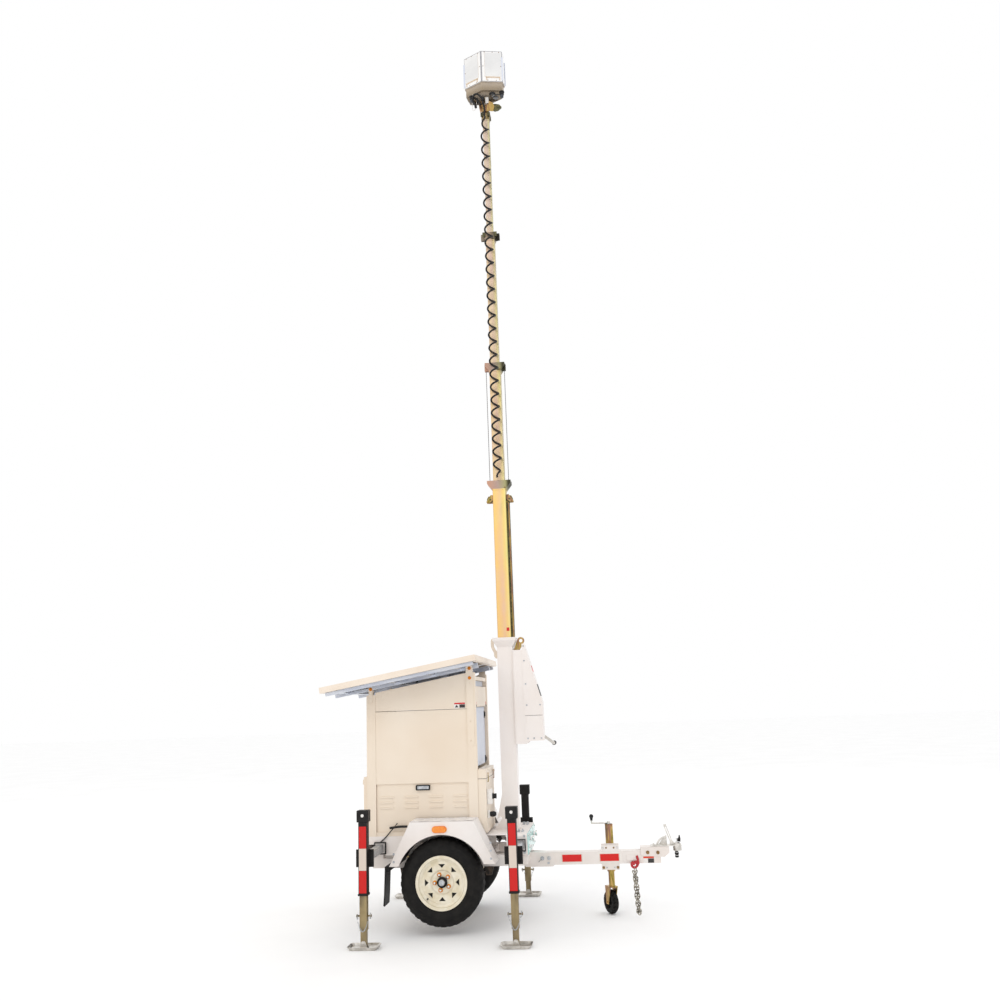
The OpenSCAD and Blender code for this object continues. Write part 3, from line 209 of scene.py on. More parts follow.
# Yellow-passivated zinc plate on square steel tube: gold with pink and green bands
def passivated_zinc(name, roughness, band, shades, tall=0.35):
    material, shader, place = finish(name, shades[1], roughness, metallic=1.0)
    spread = add(material, "ShaderNodeMapping", {"Scale": (1.0, 1.0, tall)}, {"Vector": place})
    bands = add(material, "ShaderNodeTexNoise", {"Scale": per_metre(band), "Detail": 3.0, "Distortion": 0.8},
                {"Vector": spread.outputs[0]})
    tone = shade_ramp(material, bands.outputs["Fac"], shades, [0.25, 0.38, 0.48, 0.56, 0.65, 0.78])
    link_colour(material, shader, tone)
    grit(material, shader, place, 3, 0.02, stretch=(1, 1, 0.1))
    gloss_drift(material, shader, place, 60, roughness - 0.06, roughness + 0.12)
    return material, shader, place, tone


def shade_ramp(material, source, shades, stops):
    """A colour ramp with these shades at these stops."""
    ramp = add(material, "ShaderNodeValToRGB", links={"Fac": source})
    while len(ramp.color_ramp.elements) < len(shades):
        ramp.color_ramp.elements.new(0.5)
    for element, shade, stop in zip(ramp.color_ramp.elements, shades, stops):
        element.position, element.color = stop, linear(shade)
    return ramp.outputs["Color"]


def blend_colours(material, factor, low, high):
    """Mixes two colours by a factor, which is a number or a socket."""
    mix = add(material, "ShaderNodeMix", {"data_type": "RGBA"}, {6: low, 7: high})
    if isinstance(factor, float):
        mix.inputs[0].default_value = factor
    else:
        material.node_tree.links.new(factor, mix.inputs[0])
    return mix.outputs[2]


def mast_plating_with_painted_shade(number, top, size, shades, flare_shades_with_painted_shade):
    """A mast section's plating: bands across its face, with a painted highlight band and painted shade at the
    face's right edge, and painted shade on the right part of its flared head.
    """
    material, shader, place, tone = passivated_zinc("yellow_passivated_zinc_mast_%d" % number, 0.42, 160,
                                                    shades)
    where = add(material, "ShaderNodeSeparateXYZ", links={"Vector": place})
    centre = MAST_X * MM + WHEEL_X
    across = add(material, "ShaderNodeMapRange",
                 {"From Min": centre - size / 2 * MM, "From Max": centre + size / 2 * MM},
                 {"Value": where.outputs["X"]})
    # Across the face: pink at the left edge, a bright painted highlight band near the right edge, and a dark olive
    # strip of painted shade at the right edge for the shaded side face.
    face = shade_ramp(material, across.outputs[0],
                      ["#B5876E", shades[2], shades[4], shades[1], "#EFE9A0", "#77753F"],
                      [0.0, 0.06, 0.55, 0.8, 0.95, 1.0])
    wide = add(material, "ShaderNodeMapRange",
               {"From Min": centre - size * MM, "From Max": centre + size * MM},
               {"Value": where.outputs["X"]})
    # Painted shade on the flared head: its right part darkens for the flare's shaded side facet.
    head = shade_ramp(material, wide.outputs[0], flare_shades_with_painted_shade, [0.1, 0.45, 0.75, 0.86])
    over = add(material, "ShaderNodeMath", {"operation": "GREATER_THAN", 1: (top - 75) * MM},
               {0: where.outputs["Z"]})
    link_colour(material, shader, blend_colours(material, over.outputs[0],
                                                blend_colours(material, 0.6, tone, face), head))
    return material


# Each section's last flare shade is the dark painted shade of the flare's shaded side.
mast_zinc = [
    mast_plating_with_painted_shade(1, 3560, 112, ["#C9C27A", "#F0D488", "#F2CC7C", "#EFC48C", "#E6C2A4", "#EED894"],
               ["#C49A84", "#B39C93", "#A8A478", "#4A4838"]),
    mast_plating_with_painted_shade(2, 4640, 96, ["#BDB98A", "#E6D39C", "#E2C99E", "#E0BFA0", "#D9BCAE", "#DFCDA2"],
               ["#B59280", "#A8968C", "#96926E", "#4A4838"]),
    mast_plating_with_painted_shade(3, 5910, 80, ["#BBB890", "#E2D2A6", "#E0CAA8", "#DEC2AA", "#D9BFB4", "#DECFAE"],
               ["#8E8478", "#B5A08A", "#6E6858", "#3A3832"]),
    mast_plating_with_painted_shade(4, 7150, 60, ["#C0BCA0", "#E2D6B6", "#DFCDB2", "#DFC8B6", "#DAC4BC", "#DED2B8"],
               ["#A08A66", "#B09A72", "#8A7A50", "#4A4230"]),
]
jack_zinc = passivated_zinc("yellow_passivated_zinc_fittings", 0.34, 26,
                            ["#4A4A20", "#A8944E", "#C8A868", "#AA8060", "#8E6A60", "#D6C080"], 0.12)[0]

# Hot-dip galvanised steel: grey with a faint spangle about 12 mm across
bright_zinc, shader, place = finish("galvanised_steel", "#C4C7CB", 0.36, metallic=1.0)
spangle = add(bright_zinc, "ShaderNodeTexVoronoi", {"Scale": per_metre(12)}, {"Vector": place})
ramp = add(bright_zinc, "ShaderNodeValToRGB", links={"Fac": spangle.outputs["Color"]})
ramp.color_ramp.elements[0].color, ramp.color_ramp.elements[1].color = linear("#A6AAAF"), linear("#CFD2D5")
link_colour(bright_zinc, shader, ramp.outputs["Color"])
grit(bright_zinc, shader, place, 4, 0.03)
gloss_drift(bright_zinc, shader, place, 30, 0.26, 0.46)

# Zinc plate gone dull and brown with handling and mud, on the drop legs
dull_zinc, shader, place = finish("weathered_zinc_plate", "#A2937A", 0.5, metallic=0.85)
tone = drift(dull_zinc, place, 70, "#7A6C55", "#A5946F", stretch=(1, 1, 0.3))
link_colour(dull_zinc, shader, grime_near_ground(dull_zinc, tone, "#6E6152", 300))
grit(dull_zinc, shader, place, 3, 0.04, stretch=(1, 1, 0.2))
gloss_drift(dull_zinc, shader, place, 35, 0.4, 0.62)

# Black textured powder coat on the leg tubes, dusty along the faces
black_powder, shader, place = finish("black_textured_powder_coat", "#121011", 0.5, ior=1.5,
                                     Specular_IOR_Level=0.3)
link_colour(black_powder, shader, drift(black_powder, place, 60, "#0F0D0D", "#1B1818", detail=6))
grit(black_powder, shader, place, 3, 0.12)

# Vulcanised rubber of the road tyres: near black, dust-grey bloom in soft rings
tyre_rubber, shader, place = finish("vulcanised_tyre_rubber", "#0E0D0D", 0.72, ior=1.52,
                                    Specular_IOR_Level=0.25)
link_colour(tyre_rubber, shader, drift(tyre_rubber, place, 45, "#0B0A0A", "#191715", detail=8))
grit(tyre_rubber, shader, place, 3, 0.15, detail=5)

# Moulded black rubber and PVC of cables, mudflaps, gaskets and grips
black_rubber, shader, place = finish("moulded_black_rubber", "#0C0B0D", 0.48, ior=1.52,
                                     Specular_IOR_Level=0.35)
link_colour(black_rubber, shader, drift(black_rubber, place, 25, "#0A090B", "#161516", detail=5))
grit(black_rubber, shader, place, 3, 0.06)

# Cream stoving enamel on the pressed wheels: glossy, with brake dust in the disc
wheel_enamel, shader, place = finish("cream_stoving_enamel", "#E8DFC8", 0.27, ior=1.5, Coat_Weight=0.35)
link_colour(wheel_enamel, shader, drift(wheel_enamel, place, 55, "#DDD1B4", "#EDE6D4", detail=6))
grit(wheel_enamel, shader, place, 4, 0.03)

# Bright zinc plate on the coupling and the cranks: pale, faintly brushed
bright_plate, shader, place = finish("bright_zinc_plate", "#DEDCD8", 0.3, metallic=0.9)
link_colour(bright_plate, shader, drift(bright_plate, place, 34, "#C6C2BB", "#E6E2DC"))
grit(bright_plate, shader, place, 3, 0.03)

# Older grey plate on the safety chain, dark where the links rub
chain_plate, shader, place = finish("worn_chain_plate", "#8C877D", 0.36, metallic=0.9)
link_colour(chain_plate, shader, drift(chain_plate, place, 9, "#5E5A52", "#CBC4B6", low_at=0.4, high_at=0.6))
grit(chain_plate, shader, place, 3, 0.06)

# Chrome plate on nuts and caps: near mirror, faintly brushed
chrome, shader, place = finish("chrome_plate", "#E3E3E2", 0.12, metallic=1.0)
grit(chrome, shader, place, 2, 0.01)
gloss_drift(chrome, shader, place, 8, 0.08, 0.2)

# Orange-gold chromate on bolts
bolt_gold, shader, place = finish("chromate_bolt_plating", "#C98A3C", 0.35, metallic=1.0)
link_colour(bolt_gold, shader, drift(bolt_gold, place, 8, "#B8742C", "#D9A35B"))
grit(bolt_gold, shader, place, 2, 0.03)

# Fresh orange-gold chromate on the wheel nut seats and the hinge bolts, and older brown plate on the
# drawbar's bolts
nut_orange, shader, place = finish("orange_chromate_plating", "#D97A1E", 0.32, metallic=0.75)
link_colour(nut_orange, shader, drift(nut_orange, place, 7, "#C4661A", "#E79A3C"))
grit(nut_orange, shader, place, 2, 0.03)
bolt_brown, shader, place = finish("aged_bolt_plating", "#8E6E48", 0.42, metallic=0.85)
link_colour(bolt_brown, shader, drift(bolt_brown, place, 7, "#7A5C3A", "#A88A60"))
grit(bolt_brown, shader, place, 2, 0.04)

# Olive passivated plate on pulleys and guards
olive_plate, shader, place = finish("olive_passivated_plate", "#5C5A45", 0.45, metallic=0.8)
link_colour(olive_plate, shader, drift(olive_plate, place, 18, "#4A4A3A", "#75714F"))
grit(olive_plate, shader, place, 3, 0.04)

# Amber polycarbonate lens, moulded with fine vertical ribs 3 mm apart
amber_lens, shader, place = finish("amber_polycarbonate_lens", "#F08A12", 0.16, ior=1.58, Coat_Weight=0.4)
ribs = add(amber_lens, "ShaderNodeTexWave", {"Scale": per_metre(3) / 6.28, "bands_direction": "X"},
           {"Vector": place})
bump = add(amber_lens, "ShaderNodeBump", {"Strength": 0.6, "Distance": 0.4 * MM},
           {"Height": ribs.outputs["Fac"]})
amber_lens.node_tree.links.new(bump.outputs[0], shader.inputs["Normal"])
link_colour(amber_lens, shader, drift(amber_lens, place, 30, "#EE7F10", "#F59A22"))


# Prismatic reflective tape: small embossed diamonds, drawn 8 mm across so that they show
def reflective_tape(name, colour, deep):
    material, shader, place = finish(name, colour, 0.3, ior=1.5, Specular_IOR_Level=0.3, Coat_Weight=0.15,
                                     Coat_Roughness=0.12)
    turned = add(material, "ShaderNodeMapping", {"Rotation": (0.0, math.radians(45), 0.0)}, {"Vector": place})
    cells = add(material, "ShaderNodeTexVoronoi",
                {"Scale": per_metre(8), "Randomness": 0.0, "distance": "MANHATTAN"},
                {"Vector": turned.outputs[0]})
    mix = add(material, "ShaderNodeMix", {"data_type": "RGBA", 6: linear(colour), 7: linear(deep)},
              {0: cells.outputs["Distance"]})
    link_colour(material, shader, mix.outputs[2])
    bump = add(material, "ShaderNodeBump", {"Strength": 0.4, "Distance": 0.2 * MM},
               {"Height": cells.outputs["Distance"]})
    material.node_tree.links.new(bump.outputs[0], shader.inputs["Normal"])
    return material


red_tape = reflective_tape("red_prismatic_tape", "#E21A12", "#C40C0A")
white_tape = reflective_tape("white_prismatic_tape", "#E4D6C8", "#D2C4B8")

# Red powder coat on the chain hook and the jockey wheel's hub
red_powder, shader, place = finish("red_powder_coat", "#B3202A", 0.36, ior=1.5)
link_colour(red_powder, shader, drift(red_powder, place, 25, "#A01B25", "#C42A32", detail=6))
grit(red_powder, shader, place, 3, 0.06)

# Pale teal gel-coated cover
teal_cover, shader, place = finish("pale_teal_gel_coat", "#9BD3CD", 0.22, ior=1.52, Coat_Weight=0.5)
link_colour(teal_cover, shader, drift(teal_cover, place, 120, "#98D2CC", "#A4DAD4"))
grit(teal_cover, shader, place, 6, 0.04)

# Extruded, satin-anodised aluminium of the array rails and panel frames: fine drawn lines; its grey-blue tint is
# painted shade for the rails under the array
anodised, shader, place = finish("satin_anodised_aluminium_painted_shade", "#C9CEDA", 0.34, metallic=0.9)
link_colour(anodised, shader, drift(anodised, place, 40, "#C2C8D6", "#D6DAE2", stretch=(0.1, 1, 1)))
grit(anodised, shader, place, 3, 0.02, stretch=(0.05, 1, 1))
gloss_drift(anodised, shader, place, 40, 0.28, 0.42)

# White-coated aluminium edge of the array frame
frame_white, shader, place = finish("white_coated_array_frame", "#EBDDCD", 0.34, ior=1.5)
link_colour(frame_white, shader, drift(frame_white, place, 400, "#EDE0D1", "#E2D2C0"))
grit(frame_white, shader, place, 5, 0.03)

# Solar laminate: dark blue silicon cells under glass, on a pitch of 115 mm, with three busbars each
solar_glass, shader, place = finish("monocrystalline_solar_laminate", "#0F1A36", 0.18, ior=1.5,
                                    Coat_Weight=1.0,
                                    Coat_Roughness=0.04)


def stripes(material, place, axis, pitch, width, offset=0.0):
    """1 on thin lines a pitch apart across one axis, 0 between them; sizes in millimetres."""
    parts = add(material, "ShaderNodeSeparateXYZ", links={"Vector": place})
    shifted = add(material, "ShaderNodeMath", {"operation": "ADD", 1: 50.0 + offset * MM},
                  {0: parts.outputs[axis]})
    along = add(material, "ShaderNodeMath", {"operation": "MODULO", 1: pitch * MM}, {0: shifted.outputs[0]})
    line = add(material, "ShaderNodeMath", {"operation": "LESS_THAN", 1: width * MM}, {0: along.outputs[0]})
    return line.outputs[0]


def either(material, first, second):
    return add(material, "ShaderNodeMath", {"operation": "MAXIMUM"}, {0: first, 1: second}).outputs[0]


gaps_lines = either(solar_glass, stripes(solar_glass, place, "X", 113.6, 3),
                    stripes(solar_glass, place, "Y", 115.5, 3))
bus_lines = stripes(solar_glass, place, "Y", 38.5, 1.6, 19)
cell_tone = drift(solar_glass, place, 300, "#101C3C", "#16264C")
with_bus = add(solar_glass, "ShaderNodeMix", {"data_type": "RGBA", 7: linear("#8D97A8")},
               {0: bus_lines, 6: cell_tone})
with_gaps = add(solar_glass, "ShaderNodeMix", {"data_type": "RGBA", 7: linear("#D7DCE4")},
                {0: gaps_lines, 6: with_bus.outputs[2]})
link_colour(solar_glass, shader, with_gaps.outputs[2])

# White backsheet under the solar panels
backsheet, shader, place = finish("white_backsheet_film", "#E3E6EC", 0.4, ior=1.46)
link_colour(backsheet, shader, drift(backsheet, place, 115, "#E6E9EE", "#D9DEE8"))
grit(backsheet, shader, place, 20, 0.1)

# Moulded ASA of the head housing and its tray: fine spark texture
head_shell, shader, place = finish("light_grey_moulded_asa", "#E4E4E3", 0.42, ior=1.52)
link_colour(head_shell, shader, drift(head_shell, place, 240, "#E7E7E6", "#DCDCDC"))
grit(head_shell, shader, place, 3, 0.05)
head_white, shader, place = finish("white_moulded_asa", "#F3F2F1", 0.4, ior=1.52)
link_colour(head_white, shader, drift(head_white, place, 200, "#F5F4F3", "#ECEBEA"))
grit(head_white, shader, place, 3, 0.05)
bar_beige, shader, place = finish("beige_painted_bar", "#D6C0A8", 0.45, ior=1.5)
link_colour(bar_beige, shader, drift(bar_beige, place, 60, "#DAC6AF", "#CBB294"))
grit(bar_beige, shader, place, 3, 0.05)
# The head's tray: a darkened beige, mostly mixed with a height ramp of painted shade that deepens towards its
# lower edge, for the shade on its underside.
tray_shell_with_painted_shade, shader, place = finish("beige_asa_with_painted_shade", "#A99C88", 0.5, ior=1.52)
depth = add(tray_shell_with_painted_shade, "ShaderNodeMapRange", {"From Min": 7302 * MM, "From Max": 7430 * MM},
            {"Value": add(tray_shell_with_painted_shade, "ShaderNodeSeparateXYZ", links={"Vector": place}).outputs["Z"]})
painted_shade_ramp = shade_ramp(tray_shell_with_painted_shade, depth.outputs[0], ["#6E6250", "#93836C", "#BDB0A0"], [0.0, 0.5, 1.0])
link_colour(tray_shell_with_painted_shade, shader, blend_colours(tray_shell_with_painted_shade, 0.3, painted_shade_ramp,
                                              drift(tray_shell_with_painted_shade, place, 70, "#A8967C", "#8A8078")))
grit(tray_shell_with_painted_shade, shader, place, 3, 0.06)

# Grey rubber-filled seams between the head's panels
seam_grey, shader, place = finish("grey_seam_filler", "#9B9BA0", 0.6, ior=1.5)
link_colour(seam_grey, shader, drift(seam_grey, place, 30, "#8E8E94", "#A9A9AD"))
grit(seam_grey, shader, place, 4, 0.05)

# Dark glass of the head's lenses
lens_glass, shader, place = finish("coated_lens_glass", "#0B0D12", 0.06, ior=1.6, Coat_Weight=1.0)
link_colour(lens_glass, shader, drift(lens_glass, place, 20, "#0A0C12", "#171B26"))

# Spring steel leaves, painted black and rubbed at the edges
spring_steel, shader, place = finish("rolled_spring_steel", "#4A4643", 0.55, metallic=0.7)
link_colour(spring_steel, shader, drift(spring_steel, place, 30, "#3A3735", "#6A5A4C", detail=6))
grit(spring_steel, shader, place, 4, 0.1)

# Grey battery cases in moulded polypropylene
battery_case, shader, place = finish("moulded_polypropylene_case", "#3C4047", 0.5, ior=1.49)
link_colour(battery_case, shader, drift(battery_case, place, 60, "#383C43", "#454A52"))
grit(battery_case, shader, place, 4, 0.1)

# Stranded wire rope: strands that wind once in 30 mm
wire_rope, shader, place = finish("stranded_wire_rope", "#8F9296", 0.4, metallic=1.0)
lay = add(wire_rope, "ShaderNodeTexWave", {"Scale": per_metre(5) / 6.28, "bands_direction": "DIAGONAL"},
          {"Vector": place})
tone = add(wire_rope, "ShaderNodeValToRGB", links={"Fac": lay.outputs["Fac"]})
tone.color_ramp.elements[0].color, tone.color_ramp.elements[1].color = linear("#6F7276"), linear("#B2B5B8")
link_colour(wire_rope, shader, tone.outputs["Color"])
bump = add(wire_rope, "ShaderNodeBump", {"Strength": 0.8, "Distance": 0.8 * MM},
           {"Height": lay.outputs["Fac"]})
wire_rope.node_tree.links.new(bump.outputs[0], shader.inputs["Normal"])

# Printed vinyl labels: plain blocks of colour with a faint mottled print
def vinyl(name, colour, shade):
    material, shader, place = finish(name, colour, 0.35, ior=1.5)
    link_colour(material, shader, drift(material, place, 5, colour, shade))
    grit(material, shader, place, 12, 0.02)
    return material


label_red = vinyl("red_vinyl_label", "#D8231F", "#C41C1A")
label_black = vinyl("black_vinyl_label", "#22201F", "#3A3635")
label_orange = vinyl("orange_vinyl_label", "#E2401A", "#D03312")
label_white = vinyl("white_vinyl_label", "#F1EEEA", "#DDD9D4")

# Thin polyethylene film left on the fender tops: milky and crinkled
film, shader, place = finish("polyethylene_film", "#F4F1F0", 0.22, ior=1.51)
link_colour(film, shader, drift(film, place, 40, "#F6F4F3", "#DEDDE2", detail=6))
grit(film, shader, place, 26, 2.0, detail=5)


# ---------- making pieces ----------

def piece(name, mesh, material, body, bevel=0.0, smooth=35):
    """Puts a mesh in the scene as a named piece with one finish, riding a body. Bevel is in millimetres."""
    obj = bpy.data.objects.new(name, mesh)
    bpy.context.scene.collection.objects.link(obj)
    if material:
        mesh.materials.clear()
        mesh.materials.append(material)
    if bevel:
        edge = obj.modifiers.new("rounded_edges", "BEVEL")
        edge.width, edge.segments, edge.limit_method = bevel * MM, 2, "ANGLE"
        edge.angle_limit, edge.use_clamp_overlap = math.radians(35), True
    mesh.shade_smooth()
    mesh.set_sharp_from_angle(angle=math.radians(smooth))
    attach(obj, body)
    return obj


def mesh_of(name, verts, faces):
    """A mesh from points in millimetres."""
    mesh = bpy.data.meshes.new(name)
    mesh.from_pydata([spot(*v) for v in verts], [], faces)
    shape = bmesh.new()
    shape.from_mesh(mesh)
    bmesh.ops.recalc_face_normals(shape, faces=shape.faces)
    shape.to_mesh(mesh)
    shape.free()
    mesh.update()
    return mesh


class Parts:
    """Collects simple solids in millimetres, to make one piece of many."""

    def __init__(self):
        self.verts, self.faces = [], []

    def put(self, verts, faces):
        base = len(self.verts)
        self.verts += [tuple(v) for v in verts]
        self.faces += [[base + i for i in face] for face in faces]
        return self

    def block(self, low, high):
        corners = [(x, y, z) for x in (low[0], high[0]) for y in (low[1], high[1]) for z in (low[2], high[2])]
        return self.put(corners, [(0, 1, 3, 2), (4, 6, 7, 5), (0, 4, 5, 1), (2, 3, 7, 6), (0, 2, 6, 4),
                                  (1, 5, 7, 3)])

    def turned(self, centre, axis, profile, count=24, start=0.0):
        """A turned solid: profile is a list of (radius, distance along axis) from the centre."""
        axis = Vector(axis).normalized()
        side = axis.orthogonal().normalized()
        other = axis.cross(side)
        rings = []
        for radius, along in profile:
            rings.append([tuple(Vector(centre) + axis * along + radius * (
                math.cos(start + 2 * math.pi * k / count) * side
                + math.sin(start + 2 * math.pi * k / count) * other)) for k in range(count)])
        verts = [v for ring in rings for v in ring]
        faces = [[i * count + k, i * count + (k + 1) % count, (i + 1) * count + (k + 1) % count,
                  (i + 1) * count + k]
                 for i in range(len(rings) - 1) for k in range(count)]
        faces.append([k for k in range(count)][::-1])
        faces.append([(len(rings) - 1) * count + k for k in range(count)])
        return self.put(verts, faces)

    def ring(self, centre, axis, profile, count=24):
        """A turned ring: its closed section is a list of (radius, distance along axis)."""
        axis = Vector(axis).normalized()
        side = axis.orthogonal().normalized()
        other = axis.cross(side)
        turns = [2 * math.pi * k / count for k in range(count)]
        verts = [tuple(Vector(centre) + axis * along + radius * (math.cos(a) * side + math.sin(a) * other))
                 for radius, along in profile for a in turns]
        n = len(profile)
        return self.put(verts, [[i * count + k, i * count + (k + 1) % count,
                                 ((i + 1) % n) * count + (k + 1) % count,
                                 ((i + 1) % n) * count + k] for i in range(n) for k in range(count)])

    def bolt(self, centre, axis, across, height, washer=True):
        """A hexagon-headed bolt that stands on a face, with its washer."""
        if washer:
            self.turned(centre, axis, [(across * 0.62, 0), (across * 0.62, height * 0.2)], 20)
        return self.turned(centre, axis, [(across * 0.5, height * 0.2), (across * 0.5, height * 0.85),
                                          (across * 0.42, height)], 6)

    def prism(self, outline, low, high, plane="xz"):
        """A convex or simple outline thickened across the missing axis."""
        def at(p, d):
            return {"xz": (p[0], d, p[1]), "yz": (d, p[0], p[1]), "xy": (p[0], p[1], d)}[plane]
        n = len(outline)
        verts = [at(p, low) for p in outline] + [at(p, high) for p in outline]
        faces = [list(range(n))[::-1], list(range(n, 2 * n))]
        faces += [[i, (i + 1) % n, n + (i + 1) % n, n + i] for i in range(n)]
        return self.put(verts, faces)

    def rod(self, points, radius, sides=10):
        """A round bar along points."""
        way = [Vector(p) for p in points]
        normal = None
        rings = []
        for i, p in enumerate(way):
            along = (way[min(i + 1, len(way) - 1)] - way[max(i - 1, 0)]).normalized()
            normal = along.orthogonal() if normal is None else normal - along * normal.dot(along)
            normal = normal.normalized()
            other = along.cross(normal)
            rings.append([tuple(p + radius * (math.cos(2 * math.pi * k / sides) * normal
                                              + math.sin(2 * math.pi * k / sides) * other)) for k in range(sides)])
        verts = [v for ring in rings for v in ring]
        faces = [[i * sides + k, i * sides + (k + 1) % sides, (i + 1) * sides + (k + 1) % sides,
                  (i + 1) * sides + k]
                 for i in range(len(rings) - 1) for k in range(sides)]
        faces += [list(range(sides))[::-1], [(len(rings) - 1) * sides + k for k in range(sides)]]
        return self.put(verts, faces)

    def loop(self, centre, along, flat, length, width, wire, sides=8, turns=20):
        """A chain link: an oval ring of round wire, long along one axis and wide across another."""
        along, flat = Vector(along).normalized(), Vector(flat).normalized()
        half, r = (length - width) / 2, (width - wire) / 2
        normal = along.cross(flat)
        ring = []
        for k in range(turns):
            a = 2 * math.pi * k / turns
            ring.append((Vector(centre) + along * (math.copysign(half, math.cos(a)) + r * math.cos(a))
                         + flat * r * math.sin(a), (along * math.cos(a) + flat * math.sin(a)).normalized()))
        verts = [tuple(p + wire / 2 * (math.cos(2 * math.pi * s / sides) * out + math.sin(2 * math.pi * s / sides) * normal))
                 for p, out in ring for s in range(sides)]
        faces = [[i * sides + s, i * sides + (s + 1) % sides, ((i + 1) % turns) * sides + (s + 1) % sides,
                  ((i + 1) % turns) * sides + s] for i in range(turns) for s in range(sides)]
        return self.put(verts, faces)

    def chain(self, points, length, width, wire):
        """Links along points, each turned a quarter from the last."""
        for i, (a, b) in enumerate(zip(points, points[1:])):
            along = Vector(b) - Vector(a)
            side = along.orthogonal().normalized()
            if i % 2:
                side = along.normalized().cross(side)
            self.loop((Vector(a) + Vector(b)) / 2, along, side, length, width, wire)
        return self

    def make(self, name, material, body, slot=None, bevel=0.0, smooth=35):
        return piece(name, mesh_of(name, self.verts, self.faces), material, body, bevel, smooth)


def flat_cut(name, loops, low, high, plane, material, body, bevel=0.0):
    """A plate with holes: the first loop is its outline and the others are holes, in millimetres."""
    drawing = bpy.data.curves.new(name, "CURVE")
    drawing.dimensions, drawing.fill_mode = "2D", "BOTH"
    drawing.extrude = (high - low) / 2 * MM
    for loop in loops:
        line = drawing.splines.new("POLY")
        line.points.add(len(loop) - 1)
        for point, (a, b) in zip(line.points, loop):
            point.co = (a * MM, b * MM, 0, 1)
        line.use_cyclic_u = True
    holder = bpy.data.objects.new(name, drawing)
    mesh = bpy.data.meshes.new_from_object(holder)
    bpy.data.objects.remove(holder)
    bpy.data.curves.remove(drawing)
    middle = (low + high) / 2 * MM
    for v in mesh.vertices:
        a, b, d = v.co
        v.co = {"xz": Vector((a, middle + d, b)), "yz": Vector((middle + d, a, b)),
                "xy": Vector((a, b, middle + d))}[plane]
        v.co.x += WHEEL_X
    shape = bmesh.new()
    shape.from_mesh(mesh)
    bmesh.ops.remove_doubles(shape, verts=shape.verts, dist=1e-6)
    bmesh.ops.recalc_face_normals(shape, faces=shape.faces)
    shape.to_mesh(mesh)
    shape.free()
    return piece(name, mesh, material, body, bevel)


def rounded(x, z, length, height, radius, steps=5):
    """A rectangle with rounded corners, centred on a place."""
    points = []
    for corner, (sx, sz) in enumerate([(1, 1), (-1, 1), (-1, -1), (1, -1)]):
        for k in range(steps + 1):
            a = math.pi / 2 * (corner + k / steps)
            points.append((x + sx * (length / 2 - radius) + radius * math.cos(a),
                           z + sz * (height / 2 - radius) + radius * math.sin(a)))
    return points


def slot_outline(x, z, length, width, angle=0.0, count=10):
    """A slot with round ends, centred on a place and turned by an angle in degrees."""
    r, half, points = width / 2, (length - width) / 2, []
    for end in (1, -1):
        for k in range(count + 1):
            a = -math.pi / 2 + math.pi * k / count + (0 if end > 0 else math.pi)
            points.append((end * half + r * math.cos(a), r * math.sin(a)))
    c, s = math.cos(math.radians(angle)), math.sin(math.radians(angle))
    return [(x + c * p - s * q, z + s * p + c * q) for p, q in points]


def paint_node(name, *materials):
    """Gives a CAD node its finish."""
    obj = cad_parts[name]
    mesh = obj.data
    if not mesh.materials:
        mesh.materials.append(materials[0])
    for i in range(len(mesh.materials)):
        mesh.materials[i] = materials[min(i, len(materials) - 1)]


# ---------- finishes of the CAD nodes that stay ----------

for names, material in [
    (["cabinet_frame", "side_panels", "louvre_panels", "front_locker", "rear_door", "locker_lid",
      "tilt_straps"],
     cream_powder),
    (["chassis_frame", "mast_base", "drawbar", "fenders", "mast_column", "winch_cover", "jack_body"],
     white_powder),
    (["axle_beam"], black_powder), (["leaf_springs"], spring_steel),
    (["mudflaps"], black_rubber), (["marker_lamps"], amber_lens), (["batteries"], battery_case),
    (["lifting_eye", "lid_latches", "jack_slide", "jockey_fork"], jack_zinc),
    (["head_neck"], mast_zinc[3]), (["coupling_lever", "winch_crank", "jack_crank"], bright_plate),
    (["drop_leg_rr", "drop_leg_rl", "drop_leg_fr", "drop_leg_fl"], dull_zinc),
    (["array_frame"], anodised),
    (["head_housing"], seam_grey), (["head_tray"], tray_shell_with_painted_shade),
    (["rim_right", "rim_left"], wheel_enamel), (["solar_panels"], frame_white),
(["jockey_wheel"], tyre_rubber),
]:
    for name in names:
        paint_node(name, material)
for number, material in enumerate(mast_zinc, 1):
    paint_node("mast_section_%d" % number, material)


# ---------- curly cable and the head's lead ----------

COIL_LOW = Vector((MAST_X - 1, -95, 3562))
COIL_HIGH = Vector((MAST_X - 6, -94, 7080))
COIL_TURNS, COIL_RADIUS, COIL_WIRE = 27.5, 34, 8.4
PITCH_LOW, PITCH_HIGH = 114, 142


def coil_points(per_turn=18):
    """The cable's own weight opens its turns towards the top."""
    axis = COIL_HIGH - COIL_LOW
    side = Vector((1, 0, 0))
    other = axis.normalized().cross(side).normalized()
    count = int(COIL_TURNS * per_turn)
    growth = PITCH_HIGH / PITCH_LOW
    points = []
    for i in range(count + 1):
        t = (growth ** (i / count) - 1) / (growth - 1)
        ease = min(1.0, 25 * t + 0.15, 25 * (1 - t) + 0.15)
        a = 2 * math.pi * COIL_TURNS * i / count + math.pi
        points.append(COIL_LOW + axis * (0.004 + 0.992 * t)
                      + COIL_RADIUS * ease * (math.cos(a) * side + math.sin(a) * other))
    return points


coil = Parts().rod(coil_points(), COIL_WIRE, 10).make("curly_cable", black_rubber, "mast_1", "black_rubber",
                                                      smooth=80)
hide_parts("coil_cable")
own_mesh(coil)

